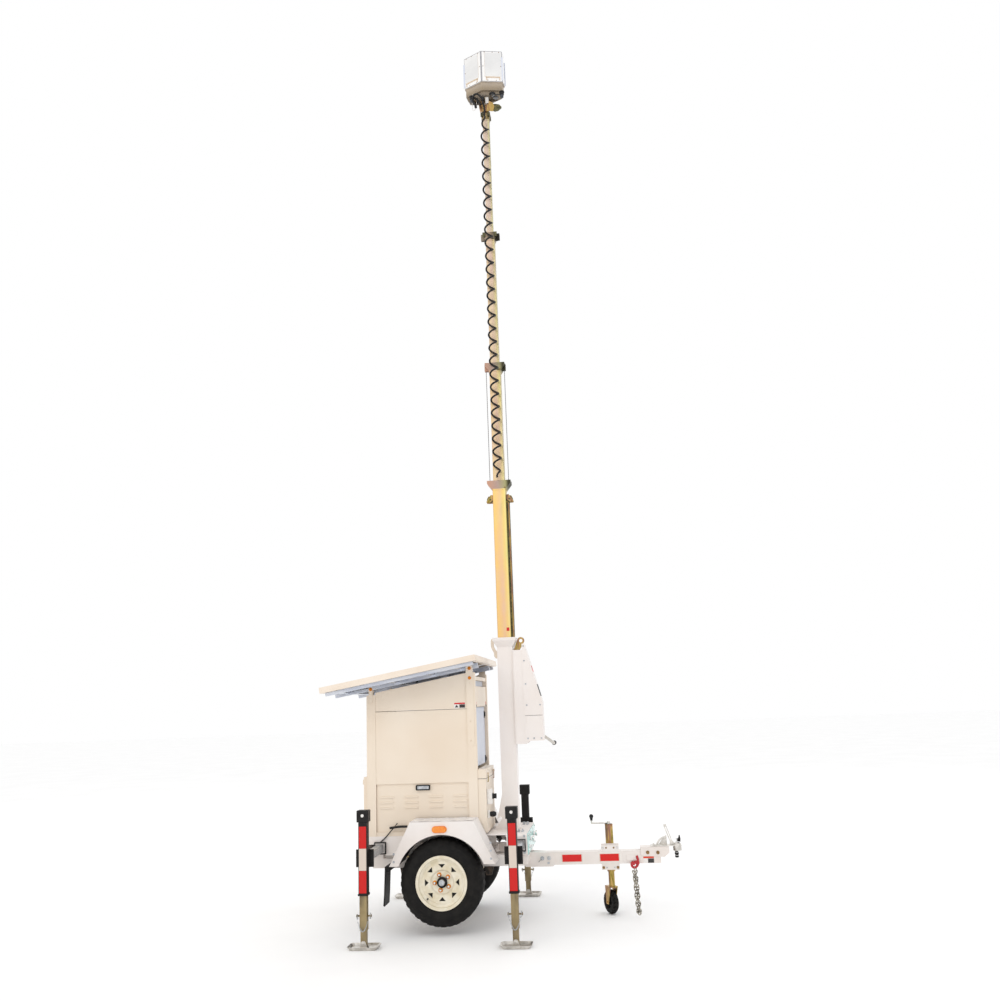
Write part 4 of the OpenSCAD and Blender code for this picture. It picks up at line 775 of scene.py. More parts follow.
LEAD = [(-6, -94, 7078), (-2, -94, 7120), (-2, -95, 7160), (-12, -96, 7205), (-22, -98, 7250),
        (-44, -100, 7290),
        (-78, -98, 7310), (-104, -88, 7290), (-112, -72, 7258), (-104, -52, 7236), (-88, -34, 7240),
(-76, -24, 7262),
        (-72, -20, 7300), (-72, -20, 7333)]


def smooth_way(points, steps=5):
    """Points on a smooth curve through the given ones."""
    way, p = [], [Vector(q) for q in points]
    for i in range(len(p) - 1):
        a, b, c, d = p[max(i - 1, 0)], p[i], p[i + 1], p[min(i + 2, len(p) - 1)]
        for j in range(steps):
            t = j / steps
            way.append(0.5 * (2 * b + (c - a) * t + (2 * a - 5 * b + 4 * c - d) * t * t
                              + (3 * b - a - 3 * c + d) * t ** 3))
    return way + [p[-1]]


lead = Parts().rod(smooth_way([(MAST_X + x, y, z) for x, y, z in LEAD]), 8.5, 12)
lead.turned((MAST_X - 72, -20, 7318), (0, 0, 1), [(9, 0), (13, 3), (13, 15)], 20)
lead = lead.make("head_lead", black_rubber, "mast_4", "black_rubber", smooth=80)
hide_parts("head_cable")


# ---------- outriggers: arm, black leg tube with its plate and cap, tape, bolts, pin chain ----------

for leg, (leg_x, way) in LEGS.items():
    body = "outrigger_" + leg

    def out(x, inboard, z):
        """A place on this leg: x along the trailer and the distance inboard of the leg's centre line."""
        return (leg_x + x, way * (900 - inboard), z)

    def slab(parts, x0, x1, in0, in1, z0, z1):
        a, b = out(x0, in0, z0), out(x1, in1, z1)
        parts.block((a[0], min(a[1], b[1]), a[2]), (b[0], max(a[1], b[1]), b[2]))

    arm = Parts()
    slab(arm, -28, 28, 42, 700, 577, 633)
    arm = arm.make("arm_" + leg, bright_zinc, body, "zinc_steel", bevel=5)
    leg_parts = Parts()
    for a, b, c, d in [(-32, 32, -32, -28), (-32, 32, 28, 32), (-32, -28, -28, 28), (28, 32, -28, 28)]:
        slab(leg_parts, a, b, c, d, 358, 862)
    slab(leg_parts, -66, 66, 32, 42, 543.5, 666.5)
    for z in (556, 640):
        slab(leg_parts, -44, 44, 28.5, 32.5, z - 5, z + 5)
    leg_tube = leg_parts.make("leg_tube_" + leg, black_powder, body, "black_steel", bevel=2)
    cap = Parts()
    slab(cap, -43.5, 43.5, -37, 37, 862, 944)
    cap = cap.make("gear_cap_" + leg, black_powder, body, "black_steel", bevel=3)
    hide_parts("outrigger_" + leg)
    # cream crank socket, with a rivet either side and a small bolt below
    socket = Parts().turned(out(0, -37, 908), (0, way, 0), [(11, 0), (11, 3), (8, 4), (7, 1.5)], 24)
    socket.make("crank_socket_" + leg, label_white, body, "head_shell")
    rivets = Parts()
    for x in (-27, 27):
        rivets.turned(out(x, -37, 908), (0, way, 0), [(4.5, 0), (3, 2.5)], 12)
    rivets.turned(out(0, -32, 843), (0, way, 0), [(5.5, 0), (5.5, 3.5), (3, 5)], 12)
    for x in (-52, 52):
        for z in (-46, 46):
            rivets.bolt(out(x, 32, 605 + z), (0, way, 0), 17, 10)
            rivets.bolt(out(x, 42, 605 + z), (0, -way, 0), 17, 12)
    rivets.make("leg_hardware_" + leg, black_powder, body, "black_steel")
    for k, (low, high, tape) in enumerate([(376, 528.5, red_tape), (529.5, 679.5, white_tape),
                                           (680.5, 832, red_tape)]):
        strip = Parts()
        slab(strip, -27, 27, -32.6, -32.1, low, high)
        strip.make("leg_tape_%s_%d" % (leg, k), tape, body, "zinc_steel")
    # black trim around the receiver's mouth
    collar = Parts()
    mouth = 400
    for z0, z1, x0, x1 in [(560, 568, -46, 46), (642, 650, -46, 46), (568, 642, -46, -38),
                           (568, 642, 38, 46)]:
        a, b = way * (mouth - 16), way * (mouth + 8)
        collar.block((leg_x + x0, min(a, b), z0), (leg_x + x1, max(a, b), z1))
    collar.make("receiver_trim_" + leg, black_rubber, "trailer", "black_rubber", bevel=2)
    # drop leg: retaining chain and clip of the quick pin
    chain = []
    for k in range(15):
        t = k / 14
        chain.append(out(-44 + 88 * t, -34 - 6 * math.sin(math.pi * t),
                         222 - 100 * math.sin(math.pi * t) ** 0.8))
    hang = Parts().chain(chain, 17, 10, 2.6)
    hang.loop(out(47, 0, 219), (0, 0, 1), (0, 1, 0), 42, 30, 4)
    hang.loop(out(-47, 0, 214), (0, 0, 1), (0, 1, 0), 36, 26, 4)
    hang.make("pin_chain_" + leg, bright_zinc, "drop_leg_" + leg, "zinc_steel", smooth=80)
    guide = Parts()
    for a, b, c, d in [(-36, 36, -36, -32), (-36, 36, 32, 36), (-36, -32, -32, 32), (32, 36, -32, 32)]:
        slab(guide, a, b, c, d, 358, 372)
    guide.make("leg_guide_" + leg, black_powder, body, "black_steel", bevel=1)


# ---------- drawbar tape ----------

for name, side in SIDES.items():
    for k, (x0, x1) in enumerate([(881, 1033), (1180, 1327)]):
        for kind, grow, depth, tape in [("border", 7, 0.4, white_tape), ("band", 0, 0.8, red_tape)]:
            y0, y1 = side * 47.5, side * (47.5 + depth)
            strip = Parts().block((x0 - grow, min(y0, y1), 425 - grow * 0.5),
                                  (x1 + grow, max(y0, y1), 478 + grow * 0.5))
            strip.make("drawbar_tape_%s_%s_%d" % (kind, name, k), tape, "trailer", "cream_paint")


# ---------- wheels: grooved tyres, brake drums, hubs with chromed nuts, valves ----------

TYRE_Y, BEAD, TYRE_HALF = 508, 180.5, 97.5
NUT_ANGLES = [math.radians(112 + 72 * k) for k in range(5)]


def tyre_section():
    """(radius, distance from the tyre's middle) round the tyre, from its outer bead to its inner one."""
    wall = []
    for k in range(17):
        a = math.radians(-52 + 6.5 * k)
        r, y = BEAD + 64 + 52 * math.sin(a), TYRE_HALF - 40 + 40 * math.cos(a)
        wall.append((r, y - (1.6 if k in (3, 4, 11) else 0.9 if k in (7, 12) else 0)))
    shoulder = [(296, 76), (307, 67.5), (312, 61), (314, 53.5), (314, 38.5), (306.5, 37), (306.5, 31),
                (314, 29.5),
                (314, 17), (314, 4.5), (306.5, 3)]
    half = [(182, 66)] + wall + shoulder
    return half + [(r, -y) for r, y in reversed(half)]


def tread_cut(k, r, y):
    """How deep the tread is cut here: blocks at the shoulders, short slits on the ribs."""
    if r > 300 and 39 < abs(y) < 70:
        return 6.0 if (k + (3 if y > 0 else 0)) % 6 < 1.5 else 0.0
    return 3.5 if r > 310 and abs(abs(y) - 17) < 1 and k % 6 == 2 else 0.0


for name, side in SIDES.items():
    body, centre, out_way = "wheel_" + name, (0, side * TYRE_Y, AXLE_Z), (0, side, 0)
    section, count = tyre_section(), 216
    verts = [((r - tread_cut(k, r, y)) * math.cos(2 * math.pi * k / count), side * (TYRE_Y + y),
              AXLE_Z + (r - tread_cut(k, r, y)) * math.sin(2 * math.pi * k / count))
             for r, y in section for k in range(count)]
    faces = [[i * count + k, i * count + (k + 1) % count, ((i + 1) % len(section)) * count + (k + 1) % count,
              ((i + 1) % len(section)) * count + k] for i in range(len(section)) for k in range(count)]
    tyre = Parts().put(verts, faces).make("tyre_grooved_" + name, tyre_rubber, body, "tyre", smooth=28)
    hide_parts("tyre_" + name)
    drum = Parts().ring(centre, out_way, [(46, -46), (139, -46), (142, -40), (142, 6), (137, 32), (133, 38),
                                          (99, 38), (90, 25), (46, 25)], 64)
    drum.make("brake_drum_" + name, black_powder, body, "black_steel", bevel=1)
    hub = Parts().ring(centre, out_way, [(20.4, -60), (45, -60), (45, 14), (69, 16), (70, 26.4), (32.8, 26.4),
                                         (20.4, 26.4)], 48)
    hub.turned(centre, out_way, [(32.8, 28.4), (32.8, 35.6), (39, 35.6), (39.5, 50), (36, 53), (25, 53)], 40)
    hub = hub.make("hub_core_" + name, black_powder, body, "black_steel", bevel=0.6)
    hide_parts("hub_" + name)
    cap = Parts().turned(centre, out_way, [(23.5, 53), (23.5, 66), (21.5, 69.5), (16, 71), (15, 70), (6, 70),
                                           (5, 71.2)], 40)
    cap.make("grease_cap_" + name, bright_zinc, body, "zinc_steel")
    seats, nuts = Parts(), Parts()
    for a in NUT_ANGLES:
        at = (57 * math.cos(a), side * TYRE_Y, AXLE_Z + 57 * math.sin(a))
        seats.turned(at, out_way, [(17, 35.3), (17.2, 37.5), (14, 40), (11, 41)], 24)
        nuts.turned(at, out_way, [(10.4, 39.5), (10.4, 50.5)], 6)
        nuts.turned(at, out_way, [(9.2, 50.3), (8.8, 53.5), (7, 56.6), (4, 58.3), (1.5, 58.7)], 20)
    seats.make("nut_seats_" + name, nut_orange, body, "zinc_steel")
    nuts.make("wheel_nuts_" + name, chrome, body, "zinc_steel", bevel=0.4)
    c, s = math.cos(math.radians(226)), math.sin(math.radians(226))
    valve = Parts().rod([(168 * c, side * (TYRE_Y + 46), AXLE_Z + 168 * s),
                         (163 * c, side * (TYRE_Y + 56), AXLE_Z + 163 * s),
                         (153 * c, side * (TYRE_Y + 76), AXLE_Z + 153 * s)], 5.2, 12)
    valve.turned((153.6 * c, side * (TYRE_Y + 75), AXLE_Z + 153.6 * s), (-10 * c, 20 * side, -10 * s),
                 [(6.2, 0), (6.2, 10), (4.5, 11.5)], 12)
    valve.make("valve_" + name, black_rubber, body, "black_rubber")


# ---------- fenders: black liner as painted shade over the tyre, clear film on the top, bolts, hose and leads ---

for name, side in SIDES.items():
    arch, low, high = [], side * 388, side * 619
    for k in range(33):
        a = math.radians(24 + 132 * k / 32)
        arch.append((8 + 349 * math.cos(a), AXLE_Z + 349 * math.sin(a)))
    arch += [(8 + (x - 8) * 352.5 / 349, AXLE_Z + (z - AXLE_Z) * 352.5 / 349) for x, z in reversed(arch)]
    # Painted shade: a black liner under the arch stands for the shade inside the fender over the tyre.
    shade_liner = Parts().prism(arch, min(low, high), max(low, high))
    shade_liner.make("fender_shade_liner_" + name, black_powder, "trailer", "black_steel", smooth=50)
    sheet, nx, ny = Parts(), 44, 20
    points = []
    for j in range(ny + 1):
        for i in range(nx + 1):
            x, y = -224 + 483 * i / nx, 392 + 228 * j / ny
            lift = 1.2 + 1.1 * math.sin(x / 19 + 2.2 * math.sin(y / 31)) + 0.9 * math.sin(y / 13 + x / 47)
            points.append((x, side * y, 818.4 + max(0.2, lift)))
    sheet.put(points, [[j * (nx + 1) + i, j * (nx + 1) + i + 1, (j + 1) * (nx + 1) + i + 1,
                        (j + 1) * (nx + 1) + i]
                       for j in range(ny) for i in range(nx)])
    sheet.make("fender_film_" + name, film, "trailer", "cream_paint", smooth=60)
    bolts = Parts()
    for x, z in [(-352, 536), (-352, 592), (384, 548), (384, 604), (384, 660)]:
        bolts.bolt((x, side * 622.4, z), (0, side, 0), 13, 6)
    bolts.make("fender_bolts_" + name, bright_zinc, "trailer", "zinc_steel")

hose = Parts().rod(smooth_way([(-431, -401, 753), (-400, -402, 757), (-350, -402, 762), (-292, -400, 762)]),
                   9, 12)
hose.make("hose_end", black_rubber, "trailer", "black_rubber", smooth=60)
wires = Parts()
for k in range(2):
    wires.rod(smooth_way([(-374 + 6 * k, -397, 787), (-410, -399 - 2 * k, 741 + 5 * k),
                          (-470, -396, 676 + 7 * k),
                          (-528, -390, 631 + 5 * k)]), 2.2, 8)
wires.make("axle_leads", black_rubber, "trailer", "black_rubber", smooth=60)


# ---------- mast base: teal cover plate with its knob, bolts, drawbar clips -----------

base_outline = rounded(0, 601, 640, 158, 16)
teal = flat_cut("base_cover", [base_outline, slot_outline(-215, 566, 56, 20), slot_outline(215, 566, 56, 20)],
                634.3, 640, "yz", teal_cover, "trailer", bevel=1.2)
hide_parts("front_cover")
knob = Parts().turned((640, -150, 622), (1, 0, 0),
                      [(21, 0), (22, 3), (16, 5), (15, 17), (24, 20), (25, 30), (22, 34), (8, 35)], 32)
knob.turned((640, -232, 575), (1, 0, 0), [(17, 0), (17, 4), (12, 6), (11, 16), (13, 18), (13, 22), (4, 23)],
            24)
knob.turned((640, 150, 622), (1, 0, 0), [(21, 0), (22, 3), (16, 5), (15, 17), (24, 20), (25, 30), (22, 34),
                                         (8, 35)], 32)
for y in (-300, -100, 100, 300):
    for z in (536, 664):
        knob.bolt((640, y, z), (1, 0, 0), 13, 6)
knob.make("cover_knobs", chrome, "trailer", "zinc_steel")
ties = Parts()
for x in (560, 590):
    for y in (-250, -205, 205, 250):
        ties.bolt((x, y, 684.2), (0, 0, 1), 19, 10)
        ties.turned((x, y, 684.2), (0, 0, 1), [(5, 0), (5, 18), (4, 19)], 12)
for side in SIDES.values():
    for x, z in [(318, 668), (318, 548), (612, 668), (612, 548)]:
        ties.bolt((x, side * 360.3, z), (0, side, 0), 15, 8)
    for x, z in [(722, 456), (776, 456)]:
        ties.turned((x, side * 55.5, z), (0, side, 0), [(16, 0), (16, 3), (11, 3.5), (11, 15), (9, 17)], 28)
    ties.bolt((770, side * 55.5, 420), (0, side, 0), 15, 7)
ties.make("base_bolts", bright_zinc, "trailer", "zinc_steel")
clip = Parts()
for side in SIDES.values():
    clip.rod(smooth_way([(722, side * 70, 462), (716, side * 73, 452), (706, side * 74, 443),
                         (698, side * 73, 436),
                         (692, side * 71, 431)]), 2.2, 8)
    clip.loop((722, side * 69, 456), (0.6, 0, 0.8), (0.8, 0, -0.6), 26, 18, 3.4)
clip.make("drawbar_clips", wire_rope, "trailer", "zinc_steel", smooth=60)


# ---------- cabinet: recessed front sheets, latches, label, hinge and strap bolts -----------------

fronts = Parts()
for x0, z0, z1 in [(238, 1184, 1649), (228, 1817, 1861)]:
    fronts.block((x0, -334.6, z0), (x0 + 6, 334.6, z1))
Parts().block((252, -334.6, 1651), (262, 334.6, 1815)).make("cabinet_front_panel", cream_powder, "trailer",
                                                            "cream_paint", bevel=1.5)
tags = Parts()
for y in (-300, 300):
    tags.block((262, y - 12, 1668), (263.2, y + 12, 1692))
tags.make("front_panel_tags", label_red, "trailer", "cream_paint")
# The recessed front sheets take the cream coat's shaded copy: painted shade in the recess.
fronts.make("cabinet_front_sheets", cream_powder_painted_shade, "trailer", "cream_paint", bevel=1.5)
small = Parts()
for y, z in [(-300, 1585), (-300, 1215), (300, 1585), (300, 1215)]:
    small.block((244, y - 13, z - 30), (249, y + 13, z + 30)).block((249, y - 7, z - 16),
                                                                    (256, y + 7, z + 18))
for y in (-300, 300):
    small.block((262, y - 13, 1652), (266, y + 13, 1668))
small.make("front_sheet_latches", black_rubber, "trailer", "black_rubber", bevel=2)
for name, side in SIDES.items():
    faces_y = sorted((side * 382.2, side * 386.5))
    flat_cut("latch_frame_" + name, [rounded(-166, 1048, 116, 42, 9), rounded(-166, 1048, 92, 25, 5)],
             faces_y[0], faces_y[1], "xz", black_rubber, "trailer", bevel=0.8)
    pull = Parts()
    y0, y1 = sorted((side * 382.2, side * 384))
    pull.prism(rounded(-166, 1048, 92, 25, 5), y0, y1)
    y0, y1 = sorted((side * 384, side * 387.5))
    pull.prism(rounded(-178, 1048, 56, 17, 4), y0, y1)
    pull.turned((-134, side * 384, 1048), (0, side, 0), [(8.5, 0), (8.5, 2.5), (6.5, 3)], 24)
    pull.make("latch_pull_" + name, bright_zinc, "trailer", "zinc_steel", bevel=0.8)
    for part, x0, x1, z0, z1, depth, paint in [
            ("ground", 96, 187, 1647, 1691, 0.6, label_white), ("bar", 98, 185, 1677, 1689, 1.0, label_red),
            ("block", 140, 185, 1649, 1675, 1.0, label_black),
("mark", 103, 132, 1655, 1670, 1.0, label_black)]:
        y0, y1 = sorted((side * 382.05, side * (382.05 + depth)))
        if part == "mark":
            shape = Parts().prism([(103, 1652), (132, 1652), (117.5, 1674)], y0, y1)
        else:
            shape = Parts().block((x0, y0, z0), (x1, y1, z1))
        shape.make("notice_%s_%s" % (part, name), paint, "trailer", "cream_paint")
    bolts = Parts()
    for x, y, z in [(228, 391.6, 1955), (228, 391.6, 1879), (-579, 391.6, 1819)]:
        bolts.bolt((x, side * y, z), (0, side, 0), 22, 10)
    bolts.make("array_bolts_" + name, nut_orange, "trailer", "yellow_zinc")


# ---------- front locker: gasket, socket box with its connector, capped plug --------------------

flat_cut("locker_gasket", [rounded(300.9, -122.5, 65.4, 506.4, 3), rounded(300.4, -122.5, 56, 497, 2)],
         1099.6, 1102.6,
         "xy", black_rubber, "trailer")
box = Parts().block((332.3, -352, 907), (374, -300, 1020)).block((332.3, -344, 803), (350, -306, 862))
box.make("socket_box", label_white, "trailer", "head_shell", bevel=5)
plug = Parts()
plug.turned((374, -326, 966), (1, 0, 0), [(23, 0), (23, 7), (19, 9), (18.5, 24), (21, 26), (20, 31),
                                          (8, 31.5)], 28)
plug.turned((350, -325, 832), (1, 0, 0), [(17, 0), (17, 6), (20, 8), (21, 30), (18, 40), (12, 49), (4, 50)],
            28)
plug.make("socket_connectors", black_rubber, "trailer", "black_rubber", bevel=0.6)


# ---------- solar array: glass, backsheets, junction boxes, gas strut, cable clip ----------

ARRAY = Matrix.Translation((-579, 0, 1819)) @ Matrix.Rotation(math.radians(-9.6), 4, "Y")


def array_block(parts, low, high):
    corners = [ARRAY @ Vector((x, y, z)) for x in (low[0], high[0]) for y in (low[1],
        high[1]) for z in (low[2], high[2])]
    return parts.put([tuple(c) for c in corners],
                     [(0, 1, 3, 2), (4, 6, 7, 5), (0, 4, 5, 1), (2, 3, 7, 6), (0, 2, 6, 4), (1, 5, 7, 3)])


for name, y0, y1 in [("right", -700, -2), ("left", 2, 700)]:
    array_block(Parts(), (-313.5, y0 + 12.5, 68.5), (906.5, y1 - 12.5, 69.6)).make(
        "solar_glass_" + name, solar_glass, "solar_array", "solar_laminate")
    array_block(Parts(), (-290.5, y0 + 35.5, 61.2), (883.5, y1 - 35.5, 62.2)).make(
        "backsheet_" + name, backsheet, "solar_array", "solar_laminate")
    boxes = array_block(Parts(), (-150, (y0 + y1) / 2 - 65, 47), (-70, (y0 + y1) / 2 + 65, 61))
    boxes.make("junction_box_" + name, black_rubber, "solar_array", "black_rubber", bevel=3)
for name, side in SIDES.items():
    strut = Parts().rod([(-731, side * 400, 1821), (-610, side * 400, 1836)], 9.5, 14)
    strut.turned((-610, side * 400, 1836), (121, 0, 15), [(12, 0), (12, 6), (10, 8)], 18)
    strut.rod(smooth_way([(-766, side * 402, 1818), (-767, side * 404, 1806), (-759, side * 404, 1797),
                          (-748, side * 402, 1799)]), 4, 10)
    strut.rod(smooth_way([(-742, side * 380, 1815), (-738, side * 372, 1800), (-728, side * 372, 1795),
                          (-722, side * 380, 1812)]), 5, 10)
    strut.make("array_strut_" + name, black_rubber, "solar_array", "black_rubber", smooth=60)


# ---------- jack: plated sleeves on the tube, clamp bolts, crank knob ----------

JACK = (1260, 89.5)
sleeves = Parts()
for z0, z1 in [(327, 365), (390, 512), (537, 686)]:
    sleeves.ring((JACK[0], JACK[1], z0), (0, 0, 1),
                 [(30, 0.2), (31.4, 0.2), (31.4, z1 - z0 - 0.3), (30, z1 - z0 - 0.3)], 40)
sleeves.turned((JACK[0], JACK[1], 684), (0, 0, 1), [(33, 0), (33, 3)], 40)
sleeves.make("jack_sleeves", jack_zinc, "trailer", "yellow_zinc")
gold_bolts, grey_bolts = Parts(), Parts()
for side in SIDES.values():
    for z in (377.5, 524.5):
        for x in (-56, 56):
            (gold_bolts if z < 400 else grey_bolts).bolt((1260 + x, side * 53.5, z), (0, side, 0),
                                                         17 if z < 400 else 13, 10 if z < 400 else 6)
        for x in (-30, 30):
            (grey_bolts if z < 400 else gold_bolts).bolt((1260 + x, side * 53.5, z), (0, side, 0),
                                                         9 if z < 400 else 11, 4)
    for x, z in [(1554, 484), (1634, 482)]:
        gold_bolts.bolt((x, side * 53.5, z), (0, side, 0), 22, 12)
gold_bolts.make("drawbar_gold_bolts", bolt_brown, "trailer", "yellow_zinc")
grey_bolts.make("drawbar_grey_bolts", bright_zinc, "trailer", "zinc_steel")
ball = [(9 + 3.3 * k / 5, 22 * k / 5) for k in range(6)] + [
    (17.2 * math.cos(math.radians(a)), 34 + 17.2 * math.sin(math.radians(a))) for a in range(-48, 90,
        12)] + [(2, 51.1)]
Parts().turned((JACK[0] - 137, JACK[1], 715), (0, 0, 1), ball, 28).make(
    "jack_knob", black_rubber, "jack_crank", "black_rubber", smooth=60)
grip = [(15, -46.5), (17.2, -44.5), (17.4, -20), (16.4, 0), (17.6, 22), (16.8, 42), (15, 46.5)]
Parts().turned((667 + 225 * math.cos(math.radians(37)), 164, 1470 - 225 * math.sin(math.radians(37))),
               (0, 1, 0), grip, 28).make(
    "winch_knob", black_rubber, "winch_crank", "black_rubber", smooth=60)


# ---------- ball coupling: cream cheeks with a notice, plated housing, brake quadrant, trigger ----------

cheek = [(1500, 518), (1500, 470), (1504, 462), (1512, 459), (1680, 448), (1688, 450), (1722, 478),
         (1724, 484), (1724, 518)]
cheeks = Parts()
for side in SIDES.values():
    cheeks.prism(cheek, *sorted((side * 47.6, side * 53.5)))
    cheeks.prism(rounded(1428, 452, 140, 78, 20), *sorted((side * 47.6, side * 51)))
    cheeks.prism(rounded(1432, 447, 92, 44, 6), *sorted((side * 51, side * 58)))
cheeks.block((1500, -53.5, 518), (1724, 53.5, 524))
cheeks = cheeks.make("coupling_cheeks", white_powder, "trailer", "cream_paint", bevel=1.5)
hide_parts("coupling_body")
housing = Parts().prism([(1580, 524), (1822.5, 524), (1822.5, 528), (1812, 541), (1778, 541), (1770, 534),
                         (1600, 534), (1580, 530)], -34, 34)
housing.ring((1790, 0, 488), (0, 0, 1), [(25.6, 0), (33, 0), (33, 36), (31.5, 46), (26, 55), (17, 61),
                                         (8, 63), (8, 58),
                                         (18, 52), (25.6, 38)], 40)
for side in (-1, 1):
    housing.prism([(1734, 534), (1766, 534), (1766, 548), (1760, 558), (1750, 561), (1740, 558), (1734, 548)],
                  *sorted((side * 9, side * 13)))
for x in (1606, 1700):
    for y in (-24, 24):
        housing.bolt((x, y, 534), (0, 0, 1), 13, 7)
housing.make("coupling_housing", bright_plate, "trailer", "zinc_steel", bevel=1.5)
quadrant = []
for k in range(57):
    a = math.radians(90 + 90 * k / 56)
    r = 92 if k % 4 < 2 else 87
    quadrant.append((1712 + r * math.cos(a), 507 + r * math.sin(a)))
quadrant += [(1712 + 74 * math.cos(math.radians(a)), 507 + 74 * math.sin(math.radians(a))) for a in range(180,
    89, -6)]
plate = Parts().prism([p for p in quadrant if p[1] > 0], 14, 20)
plate.prism([(1640, 524), (1712, 524), (1712, 599), (1700, 598), (1668, 560)], 20, 23)
plate.make("brake_quadrant", bright_plate, "trailer", "zinc_steel", bevel=0.5)
trigger = Parts().turned((1790, 0, 549), (0, 0, 1), [(10, 0), (10, 8), (7, 10), (7, 24), (9, 26), (9, 30)],
                         20)
trigger.turned((1783, 0, 474), (0, 0, 1), [(17.5, 0), (17.5, 3)], 24)
trigger.turned((1783, 0, 450), (0, 0, 1), [(16.4, 0), (16.4, 3)], 24)
trigger.make("coupling_trigger", chrome, "trailer", "zinc_steel", bevel=0.5)
catch = Parts().prism([(1796, 556), (1817, 552), (1819, 575), (1815, 602), (1808, 602), (1804, 584),
                       (1796, 572)], -11, 11)
catch.turned((1783, 0, 434), (0, 0, 1), [(8, 0), (13, 2), (15, 6), (15, 16), (12, 18), (12, 22), (16, 24),
                                         (16, 42), (12, 44), (12, 52)], 24)
catch.make("coupling_catch", black_powder, "trailer", "black_steel", bevel=1)
for part, x0, x1, z0, z1, depth, paint in [
        ("ground", 1518, 1600, 406, 453, 0.6, label_white), ("bar", 1518, 1600, 440, 453, 1.0, label_orange),
        ("block", 1553, 1600, 406, 438, 1.0, label_black)]:
    for name, side in SIDES.items():
        y0, y1 = sorted((side * 47.6, side * (47.6 + depth)))
        Parts().block((x0, y0, z0), (x1, y1, z1)).make("drawbar_notice_%s_%s" % (part, name), paint,
                                                       "trailer", "cream_paint")


# ---------- safety chain, hung double, and its red slip hook ----------

chain = Parts()
for phase in (0, math.pi):
    strand = [(1445 + 14 * t + 13 * math.cos(16 * t + phase), -68 + 12 * math.sin(16 * t + phase),
               350 - 306 * t)
              for t in [k / 13 for k in range(14)]]
    chain.chain(strand, 42, 30, 8.4)
chain.loop((1460, -67, 44), (0.4, 0.2, -1), (1, 0, 0.4), 42, 30, 8.4)
chain.loop((1450, -67, 364), (0, 0, 1), (0.7, 0.7, 0), 42, 30, 8.4)
chain = chain.make("safety_chain_links", chain_plate, "trailer", "zinc_steel", smooth=80)
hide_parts("safety_chain")
hook = Parts()
hook.rod(smooth_way([(1466, -58, 462), (1472, -62, 444), (1474, -66, 420), (1470, -67, 396), (1456, -68, 380),
                     (1440, -68, 376), (1427, -68, 386), (1423, -68, 402), (1428, -68, 416)]), 9.5, 12)
hook.prism([(1418, 398), (1446, 392), (1454, 412), (1428, 426)], -75, -61)
hook.prism([(1440, 426), (1482, 430), (1486, 408), (1474, 384), (1456, 398)], -73, -63)
hook.rod([(1472, -50, 452), (1466, -64, 452)], 6, 10)
hook.make("slip_hook", red_powder, "trailer", bevel=0.8, smooth=60)


# ---------- mast: bolts and wear pads at the flares, pulley cheeks, winch cover fittings, tag ----------

SECTION_S, SECTION_TOP, FLARE = [112, 96, 80, 60], [3560, 4640, 5910, 7150], [205, 176, 126, 84]
tops = [(2207, 130, 194)] + list(zip(SECTION_TOP, SECTION_S, FLARE))
for i, (top, size, flare) in enumerate(tops):
    body = "trailer" if i == 0 else "mast_%d" % i
    half = size / 2 + 3
    bolts = Parts()
    for side in (-1, 1):
        for x in [(-flare / 2 + 12, flare / 2 - 12), (flare / 4,)][i in (1, 2)]:
            bolts.bolt((MAST_X + x, side * (half + (2 if i == 0 else 0)),
                        top - (16 if i not in (1, 2) else 66)), (0, side, 0), 11, 5)
        if i > 2:
            for x in (-flare / 2 + 8, flare / 2 - 10):
                bolts.block((MAST_X + x - 12, min(side * half, side * (half + 12)), top - 48),
                            (MAST_X + x + 12, max(side * half, side * (half + 12)), top - 6))
    bolts.make("flare_bolts_%d" % i, bolt_brown if i < 3 else olive_plate, body, "yellow_zinc", bevel=1)
ropes = Parts()
for d in (-1, 1):
    ropes.rod([(MAST_X + d * 82, 0, 3560.3), (MAST_X + d * 82, 0, 4573.5)], 3, 12)
ropes = ropes.make("lift_rope_pair", wire_rope, "mast_1", "zinc_steel", smooth=60)
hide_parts("lift_ropes")
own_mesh(ropes)
cheeks, brackets = Parts(), Parts()
for d in (-1, 1):
    for side in (-1, 1):
        cheeks.turned((MAST_X + d * 82, side * 14.4, 3400), (0, side, 0),
                      [(30, 0), (30, 1.4), (24, 2), (9, 2), (8, 6), (4, 6.5)], 28)
        brackets.prism([(MAST_X + d * q, z) for q,
                        z in [(57, 3438), (78, 3442), (104, 3402), (118, 3384), (114, 3372), (92, 3372),
                              (72, 3384), (57, 3400)]],
                       *sorted((side * 16.6, side * 20)))
        brackets.bolt((MAST_X + d * 104, side * 20, 3381), (0, side, 0), 13, 8)
brackets.make("pulley_brackets", jack_zinc, "mast_1", "yellow_zinc", bevel=1)
for name, x0, x1, paint in [("edge", 57, 70, olive_plate), ("web", 70, 80, jack_zinc),
                            ("lip", 80, 84, olive_plate)]:
    guide = Parts().block((MAST_X + x0, -9, 2209), (MAST_X + x1, 9, 3372)).make("hoist_guide_" + name, paint,
        "trailer", "black_steel")
    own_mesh(guide)
cheeks.make("pulley_cheeks", olive_plate, "mast_1", "black_steel")
tag = Parts().block((MAST_X + 22, -59.8, 2262), (MAST_X + 44, -58.9, 2290))
tag.make("mast_tag", label_red, "mast_1", "yellow_zinc")
fittings, edge = Parts(), Parts()
for side in SIDES.values():
    for x, z in [(650, 1385), (760, 1385), (760, 1650), (650, 1650), (648, 1820), (642, 2010), (640, 2130),
                 (700, 1385)]:
        fittings.bolt((x, side * 82, z), (0, side, 0), 11, 5)
    edge.block((632, min(side * 82, side * 82.7), 1565), (776, max(side * 82, side * 82.7), 1567.5))
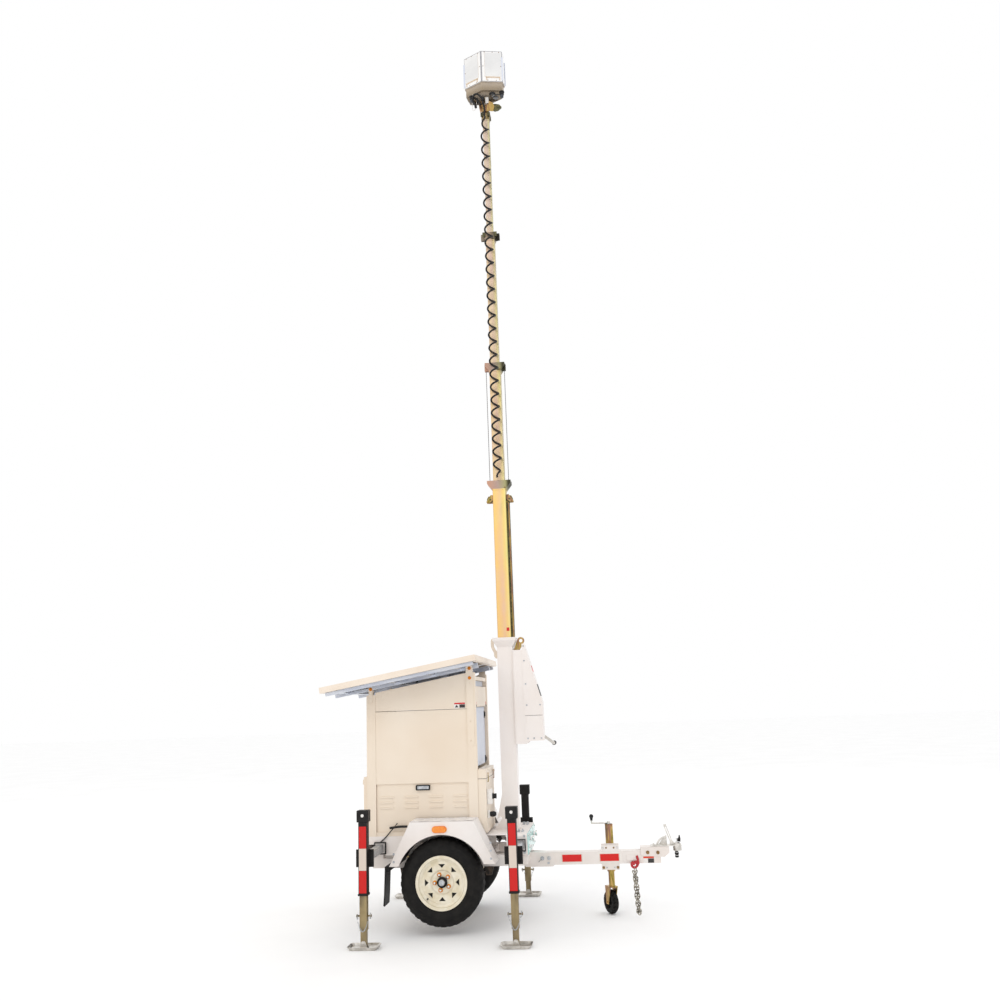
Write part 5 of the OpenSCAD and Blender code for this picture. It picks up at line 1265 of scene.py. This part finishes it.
fittings.make("winch_cover_bolts", bright_zinc, "trailer", "zinc_steel")
edge.make("winch_cover_seams", black_rubber, "trailer", "black_rubber")


def on_slant(parts, t0, t1, y0, y1, depth):
    """A thin patch on the winch cover's slanted front, from t0 to t1 of its height."""
    a, b = Vector((778, 0, 1672)), Vector((645, 0, 2150))
    n = Vector((b.z - a.z, 0, a.x - b.x)).normalized()
    low, high = a.lerp(b, t0), a.lerp(b, t1)
    corners = [tuple(p + Vector((0, y, 0)) + n * d) for p in (low, high) for y in (y0, y1) for d in (0.1,
        depth)]
    return parts.put(corners, [(0, 1, 3, 2), (4, 6, 7, 5), (0, 4, 5, 1), (2, 3, 7, 6), (0, 2, 6, 4),
                               (1, 5, 7, 3)])


on_slant(Parts(), 0.10, 0.30, -60, 60, 1.2).make("winch_slot_guard", black_rubber, "trailer", "black_rubber")
on_slant(Parts(), 0.52, 0.62, -42, 42, 0.8).make("winch_notice", label_red, "trailer", "cream_paint")
rear = Parts().prism([(411.6, 2040), (400, 2041), (388, 2056), (384, 2090), (368, 2120), (362, 2140),
                      (361, 2185), (367, 2204),
                      (386.6, 2204), (386.6, 2140), (400, 2112), (411.6, 2100)], -6, 6)
rear.make("column_rear_hook", cream_powder, "trailer", "cream_paint", bevel=1.5)


# ---------- head: framed panels with bars and screws, flanges, tray lenses and sockets, brackets ----------

HEAD = Matrix.Translation((MAST_X, 0, HEAD_Z)) @ Matrix.Rotation(HEAD_TURN, 4, "Z")
W, D = 187, 110


def on_face(parts, a, b, s0, s1, z0, z1, d0, d1):
    """A slab on a vertical face of the head: s0 to s1 along it, z0 to z1 in height, standing out d0 to d1."""
    a, b = Vector((*a, 0)), Vector((*b, 0))
    u = (b - a).normalized()
    n = Vector((u.y, -u.x, 0))
    corners = [tuple(HEAD @ (a + u * s + n * d + Vector((0, 0, z)))) for s in (s0, s1) for z in (z0,
        z1) for d in (d0, d1)]
    return parts.put(corners, [(0, 1, 3, 2), (4, 6, 7, 5), (0, 4, 5, 1), (2, 3, 7, 6), (0, 2, 6, 4),
                               (1, 5, 7, 3)])


frames, panes, trims, screws, flanges = Parts(), Parts(), Parts(), Parts(), Parts()
length = math.hypot(W, D - 39.6)
for a, b, edge_first in [((-W, -39.6), (0, -D), False), ((0, -D), (W, -39.6), True),
                         ((W, 39.6), (0, D), False), ((0, D), (-W, 39.6), True)]:
    def along(s):
        return s if edge_first else length - s

    def face(parts, s0, s1, *rest):
        t0, t1 = sorted((along(s0), along(s1)))
        return on_face(parts, a, b, t0, t1, *rest)

    face(frames, 8, length - 5, 5, 320, 0.1, 1.6)
    face(panes, 34, length - 12, 52, 310, 1.6, 2.5)
    face(trims, 32.5, 34, 48, 312, 1.6, 2.6)
    face(trims, 40, length - 22, 40, 50, 1.6, 7)
    for s in (46, length - 30):
        face(trims, s, s + 7, 14, 40, 1.6, 5)
    for s, z in [(18, 164), (length - 12, 164), (34, 316), (110, 316), (172, 316), (60, 14), (140, 14)]:
        face(screws, s - 3.5, s + 3.5, z - 3.5, z + 3.5, 1.6, 3.6)
for side in (-1, 1):
    ends = [((W * side, -39.6 * side), (W * side, 39.6 * side))]
    for a, b in ends:
        on_face(frames, a, b, 5, 74.2, 5, 320, 0.1, 1.6)
        on_face(flanges, a, b, -7, -2.5, 12, 262, -6, 9)
        on_face(flanges, a, b, 81.7, 86.2, 12, 262, -6, 9)
frames.make("head_frames", head_white, "mast_4", "head_shell", bevel=0.6)
panes.make("head_panes", head_shell, "mast_4", "head_shell", bevel=0.6)
trims.make("head_bars", bar_beige, "mast_4", "head_tray_plastic", bevel=0.8)
screws.make("head_screws", bolt_brown, "mast_4", "zinc_steel", bevel=0.8)
# The flanges take the cream coat's shaded copy: painted shade.
flanges.make("head_flanges", cream_powder_painted_shade, "mast_4", "head_shell", bevel=0.6)

dark, glass, sockets, plates, golds, white = Parts(), Parts(), Parts(), Parts(), Parts(), Parts()
dark.turned((562, -88, 7302), (0, 0, -1), [(30, 0), (30, 12), (27, 15), (22, 15)], 36)
glass.turned((562, -88, 7287), (0, 0, -1), [(21, 0), (19, 3), (12, 6), (3, 7.2)], 32)
glass.turned((587, -25, 7302), (0, 0, -1), [(26, 0), (26, 4), (22, 6)], 32)
slit = [tuple(HEAD @ Vector((x, y, 0))) for x, y in [(92, -72), (158, -44), (158, -34), (92, -60)]]
dark.prism([(p[0], p[1]) for p in slit], 7298, 7301.6, "xy")
for x, y in [(362, -58), (652, -86)]:
    sockets.turned((x, y, 7312), (0, 0, -1), [(24, 0), (24, 10), (20, 12), (19, 34), (15, 36)], 28)
for x, y in [(362, -58), (652, -86)]:
    plates.turned((x, y, 7276), (0, 0, -1), [(15, 0), (15, 22), (12, 26)], 24)
dark.make("tray_lens_ring", black_rubber, "mast_4", "black_rubber")
glass.make("tray_lenses", lens_glass, "mast_4", "black_rubber")
sockets.make("tray_sockets", black_rubber, "mast_4", "black_rubber")
plates.make("tray_glands", battery_case, "mast_4", "battery_case")
golds.block((452, -42, 7150.5), (456, 30, 7290)).block((512, -42, 7150.5), (516, 30, 7290))
golds.prism([(424, 7246), (452, 7262), (452, 7150), (440, 7130), (430, 7180)], -52, -48.4)
golds.prism([(516, 7262), (560, 7232), (574, 7190), (560, 7140), (516, 7150)], -52, -48.4)
golds.block((440, -48, 7150.5), (560, -43, 7222))
golds.make("neck_brackets", jack_zinc, "mast_4", "yellow_zinc", bevel=1)
white.block((490, -54, 7232), (520, -48, 7296))
white.make("neck_label", label_white, "mast_4", "head_shell")
arm = Parts().prism([(556, 7222), (584, 7222), (618, 7212), (640, 7186), (630, 7176), (606, 7158),
                     (576, 7152), (552, 7168)], -44, -20)
arm.prism([(580, 7216), (620, 7206), (634, 7184), (600, 7180)], -46, -44.2)
arm.make("top_pulley_guard", olive_plate, "mast_4", "black_steel", bevel=2)
wire = Parts().rod(smooth_way([(371, -62, 7330), (367, -64, 7250), (366, -64, 7178), (372, -64, 7162),
                               (384, -64, 7160),
                               (395, -62, 7176), (402, -58, 7210), (408, -52, 7260)]), 2.6, 8)
wire.make("ground_wire", label_white, "mast_4", "black_rubber", smooth=60)
second = Parts().rod(smooth_way([(372, -52, 7300), (372, -64, 7268), (380, -74, 7238), (392, -78, 7214),
                                 (398, -78, 7196)]), 8.5, 12)
second.turned((398, -78, 7200), (0.1, 0, -1), [(12, 0), (12, 22), (9, 25)], 20)
second.rod(smooth_way([(376, -46, 7306), (394, -66, 7290), (414, -80, 7262), (430, -84, 7236),
                       (440, -82, 7218)]), 8.5, 12)
second.turned((439, -82, 7222), (0.3, 0, -1), [(12, 0), (12, 22), (9, 25)], 20)
second.turned((474, -97, 7268), (0.1, -0.1, -1), [(13, 0), (15, 3), (15, 34), (12, 38)], 24)
second.make("head_plug_leads", black_rubber, "mast_4", "black_rubber", smooth=60)


# ---------- foot pads: dished pressings with curled rims ----------

for leg, (leg_x, way) in LEGS.items():
    y0 = way * 900
    rings, levels = [], [(94, 58, 0, 20), (97, 61, 1.5, 22), (105, 68, 12, 26), (113, 73, 21, 28),
                         (115, 75, 22, 28),
                         (113.5, 73.5, 23.4, 28), (109, 70, 18, 27), (100, 63, 8, 24), (94, 58, 5, 20)]
    for hx, hy, z, r in levels:
        rings.append([(x, y, z) for x, y in rounded(leg_x, y0, 2 * hx, 2 * hy, r, 6)])
    n = len(rings[0])
    pad = Parts().put([p for ring in rings for p in ring],
                      [[i * n + k, i * n + (k + 1) % n, (i + 1) * n + (k + 1) % n, (i + 1) * n + k]
                       for i in range(len(rings) - 1) for k in range(n)]
                      + [list(range(n))[::-1], [(len(rings) - 1) * n + k for k in range(n)]])
    for y in (-27.3, 21.3):
        pad.prism([(leg_x - 30, 5), (leg_x + 30, 5), (leg_x + 15, 50), (leg_x + 8, 56), (leg_x - 8, 56),
                   (leg_x - 15, 50)],
                  y0 + y, y0 + y + 6)
    pad.turned((leg_x, y0 - 36, 44), (0, 1, 0), [(6, 0), (6, 72)], 16)
    for s in (-1, 1):
        pad.turned((leg_x, y0 + s * 27.4, 44), (0, s, 0), [(11, 0), (11, 7), (9, 8)], 6)
    pad = pad.make("foot_pad_" + leg, bright_plate, "foot_" + leg, "zinc_steel", bevel=0.6, smooth=40)
    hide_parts("foot_" + leg)


# ---------- floor, light ----------

def stage_floor():
    mesh = bpy.data.meshes.new("studio_floor")
    size = 60
    mesh.from_pydata([(-size, -size, 0), (size, -size, 0), (size, size, 0), (-size, size, 0)], [],
                     [(0, 1, 2, 3)])
    obj = bpy.data.objects.new("studio_floor", mesh)
    bpy.context.scene.collection.objects.link(obj)
    # Matt studio floor: painted pale grey, with a very slight mottle
    paint, shader, place = finish("pale_studio_floor", "#FEFEFE", 0.95)
    link_colour(paint, shader, drift(paint, place, 900, "#FFFFFF", "#FCFCFC"))
    mesh.materials.append(paint)


stage_floor()


def lamp(name, place, aim, size, power, colour):
    data = bpy.data.lights.new(name, "AREA")
    data.shape, data.size, data.energy, data.color = "SQUARE", size, power, linear(colour)[:3]
    obj = bpy.data.objects.new(name, data)
    obj.location = place
    obj.rotation_euler = (Vector(aim) - Vector(place)).to_track_quat("-Z", "Y").to_euler()
    bpy.context.scene.collection.objects.link(obj)


lamp("key_softbox", (-7, -12, 10), (0, 0, 2.5), 7, 260, "#FFF3E4")
lamp("fill_softbox", (9, -7, 6), (0, 0, 2.5), 6, 90, "#EAF1FF")
lamp("rear_softbox", (2, 11, 9), (0, 0, 3), 7, 120, "#FFFFFF")
world = bpy.data.worlds.new("soft_white_room")
world.use_nodes = True
world.node_tree.nodes["Background"].inputs["Color"].default_value = linear("#FFFFFF")
world.node_tree.nodes["Background"].inputs["Strength"].default_value = 1.0
bpy.context.scene.world = world
bpy.context.scene.view_settings.view_transform = "Standard"
